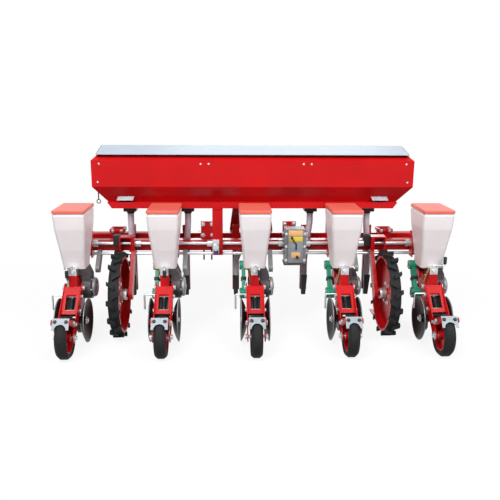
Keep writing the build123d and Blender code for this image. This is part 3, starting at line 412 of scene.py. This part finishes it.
SCRAPER_WAY = (0, -0.757, 0.653)
SCRAPER_BOLT_X = 0.034
SCRAPER_BOLT_BACK = 0.077
SCRAPER_BOLT_Z = 0.2686
scraper_places = []
for side in SIDES:
    scraper_places += at_rows(side * SCRAPER_BOLT_X, press_y - SCRAPER_BOLT_BACK, SCRAPER_BOLT_Z, SCRAPER_WAY)
bolts("scraper_bolts", SCRAPER_BOLT, scraper_places, finish=black_steel)
bolts("fork_bolts", FORK_BOLT, beside_rows(*FORK_BOLT_ARC))


def coil_spring(radius, wire, length, turns):
    """A wound spring along z from 0, a wire ring wound up by a screw."""
    bpy.ops.object.select_all(action="DESELECT")
    start = (radius, 0, 0)
    bpy.ops.mesh.primitive_circle_add(vertices=8, radius=wire, location=start, rotation=(pi / 2, 0, 0))
    spring = bpy.context.object
    bpy.ops.object.transform_apply(location=True, rotation=True)
    screw = spring.modifiers.new("wind", "SCREW")
    screw.axis = "Z"
    screw.angle = 2 * pi * turns
    screw.screw_offset = length - 2 * wire
    screw.steps = 18 * turns
    screw.render_steps = 18 * turns
    screw.use_merge_vertices = False
    bpy.ops.object.modifier_apply(modifier="wind")
    bpy.ops.object.mode_set(mode="EDIT")
    bpy.ops.mesh.select_all(action="DESELECT")
    bpy.ops.mesh.select_non_manifold()
    bpy.ops.mesh.edge_face_add()
    bpy.ops.mesh.select_all(action="SELECT")
    bpy.ops.mesh.normals_make_consistent(inside=False)
    bpy.ops.transform.translate(value=(0, 0, wire))
    bpy.ops.object.mode_set(mode="OBJECT")
    return spring


# Press springs: wound coils on a rod, in the fork's window
SPRING_FOOT = (0.178, 0.258)
SPRING_WAY = (0, 0.683, 0.73)
SPRING_LENGTH = 0.0849
SPRING_R = 0.0135
SPRING_WIRE = 0.0035
SPRING_TURNS = 8
SPRING_ROD_R = 0.007
spring_places = at_rows(0, press_y + SPRING_FOOT[0], SPRING_FOOT[1], SPRING_WAY)
coils = copies(coil_spring(SPRING_R, SPRING_WIRE, SPRING_LENGTH, SPRING_TURNS), spring_places)
fit(coils, "press_coils", "machine", black_steel, 60)
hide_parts("press_springs")
rod = post_round(SPRING_ROD_R, SPRING_LENGTH)
round_edges(rod, ROD_EDGE, 1)
rods = copies(rod, spring_places)
fit(rods, "spring_rods", "machine", zinc)

# A dark plate closes each fork under its spring
BACKING_SPOT = (0.212, 0.2715)
BACKING_WAY = (0, -0.732, 0.681)
BACKING_SIZE = (0.104, 0.15, 0.004)
backing = slab(*BACKING_SIZE, SHEET_EDGE)
backing_places = at_rows(0, press_y + BACKING_SPOT[0], BACKING_SPOT[1], BACKING_WAY)
fit(copies(backing, backing_places), "fork_backings", "machine", black_steel)

# Cranks: a soft grip on each handle, which hangs down or stands up
CRANK_THROW = 0.075
CRANK_HANDLE = 0.058
CRANK_RISE = 0.014
CRANK_POSES = {1: (-110, -1), 2: (-85, -1), 3: (-70, -1), 4: (-40, -1), 5: (-15, 1)}
BLOCK_HEIGHT = 0.044
BLOCK_HALF = 0.026
GRIP_R = 0.0115
GRIP_LENGTH = 0.05
GRIP_EDGE = 0.004
GRIP_CAP = 0.003
post_centre = middle("depth_posts")
block_top = corners("depth_posts")[1].z + BLOCK_HEIGHT
grip = post_round(GRIP_R, GRIP_LENGTH)
round_edges(grip, GRIP_EDGE, 3)
grip_places = []
for row in ROWS:
    turn, hand = CRANK_POSES[row]
    out = (cos(radians(turn)), sin(radians(turn)))
    end_z = block_top + CRANK_RISE + hand * (CRANK_HANDLE + GRIP_CAP)
    end = (row_x[row] + CRANK_THROW * out[0], post_centre.y + CRANK_THROW * out[1], end_z)
    grip_places.append((end, (0, 0, -hand)))
fit(copies(grip, grip_places), "crank_grips", "machine", black_plastic)
block_places = at_rows(0, post_centre.y - BLOCK_HALF, block_top - BLOCK_HEIGHT / 2, (0, -1, 0))
bolts("block_bolts", BLOCK_BOLT, block_places)

# Depth strips lean along the left of each post
DEPTH_STRIP = (0.02, 0.17, 0.004)
DEPTH_STRIP_ASIDE = 0.03
DEPTH_STRIP_FORWARD = 0.034
DEPTH_STRIP_Z = 0.43
DEPTH_STRIP_LEAN = radians(35)
upright = Matrix(((0, 0, -1), (1, 0, 0), (0, -1, 0)))
leaning = Matrix.Rotation(DEPTH_STRIP_LEAN, 3, "X") @ upright
strips = []
for row in ROWS:
    strip = slab(*DEPTH_STRIP, SHEET_EDGE)
    strip.rotation_euler = leaning.to_euler()
    strip.location = (row_x[row] - DEPTH_STRIP_ASIDE, post_centre.y + DEPTH_STRIP_FORWARD, DEPTH_STRIP_Z)
    strips.append(strip)
fit(joined(*strips), "depth_strips", "machine", depth_yellow)

# Green chain cases: a black collar at the waist, and bolts on both lobes.
# A lobe is its distance forward of the press axle, its height and its bolt circle.
WAIST_WAY = (0, 0.517, 0.856)
CASE_OUT = 0.097
CASE_MIDDLE = 0.071
LOBES = ((0.524, 0.462, 0.024), (0.42, 0.29, 0.029))
LOBE_BOLTS = 4
CASE_COLLAR = (0.038, 0.056, 0.024)
CASE_COLLAR_EDGE = 0.005
CASE_COLLAR_BACK = 0.006
CASE_COLLAR_DROP = 0.01
waist_y = press_y + (LOBES[0][0] + LOBES[1][0]) / 2
waist_z = (LOBES[0][1] + LOBES[1][1]) / 2
collar = slab(*CASE_COLLAR, CASE_COLLAR_EDGE)
collar_places = at_rows(-CASE_MIDDLE, waist_y - CASE_COLLAR_BACK, waist_z - CASE_COLLAR_DROP, WAIST_WAY)
fit(copies(collar, collar_places), "case_collars", "machine", black_plastic)
case_bolt_places = []
for row in ROWS:
    for forward, z, reach in LOBES:
        centre = (row_x[row] - CASE_OUT, press_y + forward, z)
        case_bolt_places += circle_places(LOBE_BOLTS, reach, centre, -1, pi / LOBE_BOLTS)
bolts("case_bolts", CASE_BOLT, case_bolt_places)

# Seed meters: a domed cover with a boss and a ring of screws on the outer face
METER_OUT = 0.1
METER_R = 0.078
COVER_R = 0.066
COVER_HEIGHT = 0.03
COVER_DOME = 0.018
BOSS_R = 0.022
BOSS_HEIGHT = 0.036
BOSS_EDGE = 0.004
METER_SCREWS = 6
METER_SCREW_CIRCLE = 0.0705
meter_low, meter_high = corners("seed_meters")
meter_y = (meter_low.y + meter_high.y) / 2
meter_z = meter_low.z + METER_R
cover = post_round(COVER_R, COVER_HEIGHT, sides=48)
round_edges(cover, COVER_DOME, 5)
boss = post_round(BOSS_R, BOSS_HEIGHT, sides=32)
round_edges(boss, BOSS_EDGE, 3)
cover = joined(cover, boss)
cover_places = at_rows(METER_OUT, meter_y, meter_z, (1, 0, 0))
fit(copies(cover, cover_places), "meter_covers", "machine", meter_alloy)
screw_places = []
for row in ROWS:
    centre = (row_x[row] + METER_OUT, meter_y, meter_z)
    screw_places += circle_places(METER_SCREWS, METER_SCREW_CIRCLE, centre, 1)
bolts("meter_screws", METER_SCREW, screw_places)

# Covering discs: a nut on each hub, which turns with its disc
DISC_HUB_END = 0.08
for row in ROWS:
    hub_places = []
    for side in SIDES:
        point = (row_x[row] + side * DISC_HUB_END, disc_centre.y, disc_centre.z)
        hub_places.append((point, (side, 0, 0)))
    bolts("disc_nuts_%d" % row, DISC_NUT, hub_places, "discs_%d" % row)

# Rear toolbar: bracket nuts, clamp plate bolts and the clamps' studs under the bar
BRACKET_NUT_X = 0.055
BRACKET_NUT_Z = 0.655
BRACKET_SHEET = 0.008
bracket_places = []
for side in SIDES:
    bracket_places += at_rows(side * BRACKET_NUT_X, bar_low.y - BRACKET_SHEET, BRACKET_NUT_Z, (0, -1, 0))
bolts("bracket_nuts", BRACKET_NUT, bracket_places)
CLAMP_XS = (-0.325, 0.263)
CLAMP_PLATE = 0.008
CLAMP_BOLT_X = 0.034
CLAMP_BOLT_ZS = (0.64, 0.722)
CLAMP_STUD_X = 0.028
STUD_R = 0.0055
STUD_LENGTH = 0.088
STUD_NUT_R = 0.011
STUD_NUT_HEIGHT = 0.009
STUD_NUT_DROP = 0.006
clamp_places = []
stud_places = []
for x in CLAMP_XS:
    for side in SIDES:
        for z in CLAMP_BOLT_ZS:
            clamp_places.append(((x + side * CLAMP_BOLT_X, bar_high.y, z), (0, -1, 0)))
        stud_point = (x + side * CLAMP_STUD_X, bar_high.y + CLAMP_PLATE / 2, bar_low.z)
        stud_places.append((stud_point, (0, 0, -1)))
bolts("clamp_bolts", CLAMP_BOLT, clamp_places)
stud_nut = post_round(STUD_NUT_R, STUD_NUT_HEIGHT, STUD_NUT_DROP, 6)
stud = joined(post_round(STUD_R, STUD_LENGTH, sides=12), stud_nut)
round_edges(stud, ROD_EDGE, 1)
fit(copies(stud, stud_places), "clamp_studs", "machine", black_steel)

# Parking stands: a collar with bolts on top of each sleeve, and a lock bolt below
SLEEVE = 0.09
COLLAR_OUTER = 0.11
COLLAR_INNER = 0.088
COLLAR_HEIGHT = 0.026
COLLAR_EDGE = 0.004
COLLAR_DROP = 0.02
COLLAR_BOLT_X = 0.032
COLLAR_BOLT_DROP = 0.007
LOCK_BOLT_DROP = 0.07
sleeve_low, sleeve_high = corners("stand_sleeves")
stand_x = sleeve_high.x - SLEEVE / 2
sleeve_y = (sleeve_low.y + sleeve_high.y) / 2
collar_face = sleeve_low.y - (COLLAR_OUTER - SLEEVE) / 2
collar_places = []
sleeve_places = []
for side in SIDES:
    collar_places.append(((side * stand_x, sleeve_y, sleeve_high.z - COLLAR_DROP), (0, 0, 1)))
    for end in SIDES:
        point = (side * stand_x + end * COLLAR_BOLT_X, collar_face, sleeve_high.z - COLLAR_BOLT_DROP)
        sleeve_places.append((point, (0, -1, 0)))
    sleeve_places.append(((side * stand_x, sleeve_low.y, sleeve_high.z - LOCK_BOLT_DROP), (0, -1, 0)))
collar = square_ring(COLLAR_OUTER, COLLAR_INNER, COLLAR_HEIGHT, COLLAR_EDGE)
fit(copies(collar, collar_places), "sleeve_collars", "machine", red_paint)
bolts("sleeve_bolts", SLEEVE_BOLT, sleeve_places)

# Rear post of the box: a cap on top, and a shaft bearing with a blue grease cap on its rear face
POST_X = -0.251
POST_FACE = 0.0605
POST_TOP = 0.852
POST_WIDTH = 0.072
POST_DEPTH = 0.074
POST_CAP = 0.006
post_cap = slab(POST_WIDTH, POST_DEPTH, POST_CAP, SHEET_EDGE)
post_cap.location = (POST_X, POST_FACE + POST_DEPTH / 2, POST_TOP - POST_CAP)
fit(post_cap, "post_cap", "machine", red_paint)
SHAFT_TOP_Z = 0.606
BEARING_X = POST_X - 0.012
BEARING_DROP = 0.014
BEARING_PLATE = (0.046, 0.1, 0.008)
BEARING_R = 0.024
BEARING_DEPTH = 0.036
bearing_plate = slab(*BEARING_PLATE, 0.002)
bearing_drum = post_round(BEARING_R, BEARING_DEPTH, 0.006, 32)
round_edges(bearing_drum, 0.004, 3)
bearing = joined(bearing_plate, bearing_drum)
bearing.rotation_euler = (pi / 2, 0, 0)
bearing.location = (BEARING_X, POST_FACE, SHAFT_TOP_Z - BEARING_DROP)
fit(bearing, "post_bearing", "machine", zinc)
GREASE_CAP_R = 0.016
GREASE_CAP_HEIGHT = 0.026
GREASE_CAP_BACK = 0.018
GREASE_CAP_DROP = 0.034
grease_cap = post_round(GREASE_CAP_R, GREASE_CAP_HEIGHT, -GREASE_CAP_HEIGHT, 32)
round_edges(grease_cap, 0.005, 3)
grease_cap.location = (BEARING_X, POST_FACE - GREASE_CAP_BACK, SHAFT_TOP_Z - GREASE_CAP_DROP)
fit(grease_cap, "post_bearing_cap", "machine", cap_blue)

# Fertilizer box: seam bolts, and blank plates on the lower slope
box_rear = corners("box_shell")[0].y
SEAM_Z = 1.165
END_SEAM = ((1.05, SEAM_Z), (1.064, 1.04))
MIDDLE_SEAM_XS = (-0.364, -0.309, 0.34, 0.395)
seam_places = []
for side in SIDES:
    for x, z in END_SEAM:
        seam_places.append(((side * x, box_rear, z), (0, -1, 0)))
for x in MIDDLE_SEAM_XS:
    seam_places.append(((x, box_rear, SEAM_Z), (0, -1, 0)))
bolts("box_seam_bolts", SEAM_BOLT, seam_places)

BLANK_PLATE = (0.112, 0.062, 0.002)
BLANK_PLATE_EDGE = 0.0006
BLANK_PLATE_PLACE = (0.875, 0.1273, 0.9342)
BLANK_PLATE_SKEW = 0.018
SLOPE_BACK = 0.816
SLOPE_DOWN = 0.578
on_slope = Matrix(((1, 0, 0), (0, SLOPE_DOWN, -SLOPE_BACK), (0, -SLOPE_BACK, -SLOPE_DOWN)))
plates = []
for side in SIDES:
    plate = slab(*BLANK_PLATE, BLANK_PLATE_EDGE)
    for corner in plate.data.vertices:
        corner.select = corner.co.y > 0
    take(plate)
    bpy.ops.object.mode_set(mode="EDIT")
    bpy.ops.transform.translate(value=(side * BLANK_PLATE_SKEW, 0, 0))
    bpy.ops.object.mode_set(mode="OBJECT")
    plate.rotation_euler = on_slope.to_euler()
    plate.location = (side * BLANK_PLATE_PLACE[0], *BLANK_PLATE_PLACE[1:])
    plates.append(plate)
fit(joined(*plates), "box_blank_plates", "machine", bare_sheet)

# A ring hangs on a rod from the left end plate's lower slope
RING_PLACE = Vector((-1.074, 0.128, 0.9))
RING_R = 0.013
RING_WIRE = 0.0032
EYE_R = 0.004
EYE_LENGTH = 0.062
EYE_RISE = 0.011
bpy.ops.object.select_all(action="DESELECT")
bpy.ops.mesh.primitive_torus_add(
    major_radius=RING_R, minor_radius=RING_WIRE, major_segments=32, minor_segments=10
)
ring = bpy.context.object
ring.rotation_euler = (pi / 2, 0, 0)
ring.location = RING_PLACE
eye = post_round(EYE_R, EYE_LENGTH, sides=16)
round_edges(eye, ROD_EDGE, 1)
eye.location = RING_PLACE + Vector((0, 0, EYE_RISE))
fit(joined(ring, eye), "box_end_ring", "machine", black_steel)

# Dark strips along the lid's two gable ends
LID_RISE = 0.045
EDGE_THICK = 0.004
EDGE_TALL = 0.014
EDGE_LENGTH = 0.21
EDGE_MIDDLE = 0.106
lid_low, lid_high = corners("box_lid")
lid_half = middle("rear_toolbar").y / 2 + middle("front_toolbar").y / 2 - lid_low.y
on_end = Matrix(((0, 0, 1), (0, 1, 0), (-1, 0, 0)))
edges = []
for side in SIDES:
    for slope in SIDES:
        edge = slab(EDGE_TALL, EDGE_LENGTH, EDGE_THICK, SHEET_EDGE)
        lean = Matrix.Rotation(-slope * LID_RISE / lid_half, 3, "X")
        edge.rotation_euler = (lean @ on_end).to_euler()
        across = side * lid_high.x + (0 if side > 0 else -EDGE_THICK)
        along = lid_low.y + lid_half + slope * EDGE_MIDDLE
        edge.location = (across, along, lid_high.z - LID_RISE / 2 - EDGE_TALL / 2)
        edges.append(edge)
fit(joined(*edges), "lid_end_strips", "box_cover", black_plastic)

# Gearbox: a front panel with blank plates, lever, a thin black slab as painted shade in the lever's slot,
# knob, a tray below, and bolts
gear_low, gear_high = corners("gearbox")
gear_middle = (gear_low + gear_high) / 2
gear_x = gear_middle.x


def on_panel(piece, x, z, proud=0.0):
    """Puts a piece upright on the gearbox's front, or proud of it."""
    piece.rotation_euler = (pi / 2, 0, 0)
    piece.location = (gear_x + x, gear_low.y - proud, z)
    return piece


PANEL_SIZE = (0.104, 0.226)
PANEL_SHEET = 0.004
PLATE_SHEET = 0.003
UPPER_PLATE = (0.1, 0.04)
LOWER_PLATE = (0.062, 0.04)
YELLOW_PLATE = (0.092, 0.036)
UPPER_PLATE_Z = 0.698
YELLOW_PLATE_Z = 0.655
LOWER_PLATE_Z = 0.542
PLATE_ASIDE = 0.002
panel = on_panel(slab(*PANEL_SIZE, PANEL_SHEET, SHEET_EDGE), 0, gear_middle.z)
fit(panel, "gear_panel", "machine", bare_sheet)
upper = on_panel(slab(*UPPER_PLATE, PLATE_SHEET, SHEET_EDGE), 0, UPPER_PLATE_Z, PANEL_SHEET)
lower = on_panel(slab(*LOWER_PLATE, PLATE_SHEET, SHEET_EDGE), PLATE_ASIDE, LOWER_PLATE_Z, PANEL_SHEET)
fit(joined(upper, lower), "gear_orange_plate", "machine", orange_plate)
yellow = on_panel(slab(*YELLOW_PLATE, PLATE_SHEET, SHEET_EDGE), PLATE_ASIDE, YELLOW_PLATE_Z, PANEL_SHEET)
fit(yellow, "gear_yellow_plate", "machine", yellow_plate)
LEVER_WAY = Vector((-0.5, -0.36, 0.788))
LEVER_LENGTH = 0.056
LEVER_R = 0.0035
LEVER_FOOT_Z = 0.618
BALL_R = 0.009
BALL_HEIGHT = 0.018
SLOT_SIZE = (0.011, 0.046, 0.002)
SLOT_X = 0.004
SLOT_Z = 0.602
KNOB_R = 0.01
KNOB_HEIGHT = 0.024
KNOB_X = 0.012
KNOB_Z = 0.53
# The lever's slot is no opening: a thin black slab on the panel is painted shade where the slot's hollow
# would be dark
slot_painted_shade = on_panel(slab(*SLOT_SIZE, 0.0008), SLOT_X, SLOT_Z, PANEL_SHEET)
lever_foot = Vector((gear_x + SLOT_X, gear_low.y - PANEL_SHEET, LEVER_FOOT_Z))
lever = post_round(LEVER_R, LEVER_LENGTH)
round_edges(lever, 0.0008, 1)
lever = copies(lever, [(lever_foot, LEVER_WAY)])
ball = post_round(BALL_R, BALL_HEIGHT)
round_edges(ball, 0.005, 3)
ball = copies(ball, [(lever_foot + LEVER_LENGTH * LEVER_WAY, LEVER_WAY)])
knob = on_panel(post_round(KNOB_R, KNOB_HEIGHT), KNOB_X, KNOB_Z, PANEL_SHEET)
round_edges(knob, 0.003, 3)
fit(joined(slot_painted_shade, lever, ball, knob), "gear_lever", "machine", black_plastic)
TRAY_SIZE = (0.16, 0.12, 0.016)
TRAY_DROP = 0.012
tray = slab(*TRAY_SIZE, 0.004)
tray.location = (gear_x, gear_middle.y, gear_low.z - TRAY_DROP)
fit(tray, "gear_tray", "machine", funnel_plastic)
GEAR_HALF = 0.074
GEAR_BOLT_X = 0.064
GEAR_BOLT_SINK = 0.008
FLANGE_Y = 0.06
FLANGE_ZS = (0.566, 0.646, 0.69)
gear_bolt_zs = (gear_low.z + 0.024, 0.6, 0.69)
gear_places = []
flange_places = []
for side in SIDES:
    for z in gear_bolt_zs:
        gear_places.append(((gear_x + side * GEAR_BOLT_X, gear_low.y + GEAR_BOLT_SINK, z), (0, -1, 0)))
    for z in FLANGE_ZS:
        flange_places.append(((gear_x + side * GEAR_HALF, FLANGE_Y, z), (side, 0, 0)))
bolts("gear_bolts", GEAR_BOLT, gear_places)
bolts("gear_flange_bolts", FLANGE_BOLT, flange_places)

# Drive wheels: hub bolts on both faces of the web, a sleeve on the hub, and the axle's end nut
WEB_HALF = 0.0035
WEB_DISH = 0.0085
HUB_BOLTS = 6
HUB_BOLT_CIRCLE = 0.07
HUB_END = 0.0478
HUB_SLEEVE = 0.046
HUB_SLEEVE_R = 0.0375
HUB_SLEEVE_EDGE = 0.002
for name, side in (("left", -1), ("right", 1)):
    hub = middle("drive_rim_" + name)
    hub_bolt_places = []
    for face in SIDES:
        centre = (hub.x + side * WEB_DISH + face * WEB_HALF, hub.y, hub.z)
        hub_bolt_places += circle_places(HUB_BOLTS, HUB_BOLT_CIRCLE, centre, face)
    bolts("hub_bolts_" + name, HUB_BOLT, hub_bolt_places, "drive_wheel_" + name)
    sleeve = post_round(HUB_SLEEVE_R, HUB_SLEEVE, sides=48)
    round_edges(sleeve, HUB_SLEEVE_EDGE)
    sleeve = copies(sleeve, [((hub.x - side * HUB_END, hub.y, hub.z), (side, 0, 0))])
    fit(sleeve, "hub_sleeve_" + name, "drive_wheel_" + name, zinc)
    end = corners("drive_rim_" + name)[1 if side > 0 else 0].x
    bolts("axle_nut_" + name, DRIVE_AXLE_NUT, [((end, hub.y, hub.z), (side, 0, 0))])

# Floor: white to the eye, with the object's shadow near it, and dull to the light that falls on the object
FLOOR_REACH = 60
FLOOR_NEAR = 1.5
FLOOR_FAR = 3.6
FLOOR_PAPER = (0.92, 0.92, 0.92, 1)
FLOOR_DULL = (0.06, 0.06, 0.06, 1)
SHADOW_KEEP = 0.14
WHITE = (1, 1, 1, 1)
bpy.ops.object.select_all(action="DESELECT")
bpy.ops.mesh.primitive_plane_add(size=FLOOR_REACH)
floor = bpy.context.object
floor.name = "studio_floor"


def seen_rays(tree):
    """1 for rays from the camera, from gloss and through clear pieces, 0 for the light on the object."""
    path = tree.nodes.new("ShaderNodeLightPath")
    first = tree.nodes.new("ShaderNodeMath")
    first.operation = "MAXIMUM"
    both = tree.nodes.new("ShaderNodeMath")
    both.operation = "MAXIMUM"
    tree.links.new(path.outputs["Is Camera Ray"], first.inputs[0])
    tree.links.new(path.outputs["Is Glossy Ray"], first.inputs[1])
    tree.links.new(first.outputs["Value"], both.inputs[0])
    tree.links.new(path.outputs["Is Transmission Ray"], both.inputs[1])
    return both.outputs["Value"]


floor_white = bpy.data.materials.new("floor_white")
floor_white.use_nodes = True
tree = floor_white.node_tree
paper = tree.nodes["Principled BSDF"]
paper.inputs["Base Color"].default_value = FLOOR_PAPER
paper.inputs["Roughness"].default_value = 0.9
dull = tree.nodes.new("ShaderNodeBsdfDiffuse")
dull.inputs["Color"].default_value = FLOOR_DULL
white = tree.nodes.new("ShaderNodeEmission")
white.inputs["Color"].default_value = WHITE
white.inputs["Strength"].default_value = 1.0
spot = tree.nodes.new("ShaderNodeTexCoord")
reach = tree.nodes.new("ShaderNodeVectorMath")
reach.operation = "LENGTH"
fade = tree.nodes.new("ShaderNodeMapRange")
fade.interpolation_type = "SMOOTHSTEP"
fade.inputs["From Min"].default_value = FLOOR_NEAR
fade.inputs["From Max"].default_value = FLOOR_FAR
fade.inputs["To Min"].default_value = 1 - SHADOW_KEEP
fade.inputs["To Max"].default_value = 1.0
shown = tree.nodes.new("ShaderNodeMixShader")
blend = tree.nodes.new("ShaderNodeMixShader")
tree.links.new(spot.outputs["Object"], reach.inputs[0])
tree.links.new(reach.outputs["Value"], fade.inputs["Value"])
tree.links.new(fade.outputs["Result"], shown.inputs["Fac"])
tree.links.new(paper.outputs["BSDF"], shown.inputs[1])
tree.links.new(white.outputs["Emission"], shown.inputs[2])
tree.links.new(seen_rays(tree), blend.inputs["Fac"])
tree.links.new(dull.outputs["BSDF"], blend.inputs[1])
tree.links.new(shown.outputs["Shader"], blend.inputs[2])
tree.links.new(blend.outputs["Shader"], tree.nodes["Material Output"].inputs["Surface"])
floor.data.materials.append(floor_white)

# World and lamps
WORLD_FILL = 0.36
world = bpy.data.worlds.new("studio")
bpy.context.scene.world = world
world.use_nodes = True
sky = world.node_tree
level = sky.nodes.new("ShaderNodeMapRange")
level.inputs["To Min"].default_value = WORLD_FILL
level.inputs["To Max"].default_value = 1.0
sky.links.new(seen_rays(sky), level.inputs["Value"])
sky.links.new(level.outputs["Result"], sky.nodes["Background"].inputs["Strength"])
sky.nodes["Background"].inputs["Color"].default_value = WHITE

LAMP_AIM = Vector((0, 0, 0.6))
LAMP_SIZE = 3.0


def soft_box(name, place, power):
    """A square soft lamp aimed at the object's middle."""
    bpy.ops.object.light_add(type="AREA", location=place)
    lamp = bpy.context.object
    lamp.name = name
    lamp.data.shape = "SQUARE"
    lamp.data.size = LAMP_SIZE
    lamp.data.energy = power
    lamp.rotation_euler = (LAMP_AIM - Vector(place)).to_track_quat("-Z", "Y").to_euler()


soft_box("key_light", (-2.0, -3.9, 4.5), 300)
soft_box("fill_light", (3.0, -3.5, 4.0), 195)
soft_box("back_light", (0.5, 4.4, 1.7), 110)

# Camera, as the photograph was taken
CAMERA_PLACE = (-0.182, -4.138, 1.590)
PITCH = radians(13.7)
YAW = radians(2.15)
ROLL = radians(0.37)
LENS = 44.32
SENSOR = 36
bpy.ops.object.camera_add(location=CAMERA_PLACE)
camera = bpy.context.object
camera.data.lens = LENS
camera.data.sensor_width = SENSOR
aim = Euler((pi / 2 - PITCH, 0, -YAW)).to_matrix() @ Matrix.Rotation(ROLL, 3, "Z")
camera.rotation_euler = aim.to_euler()
bpy.context.scene.camera = camera
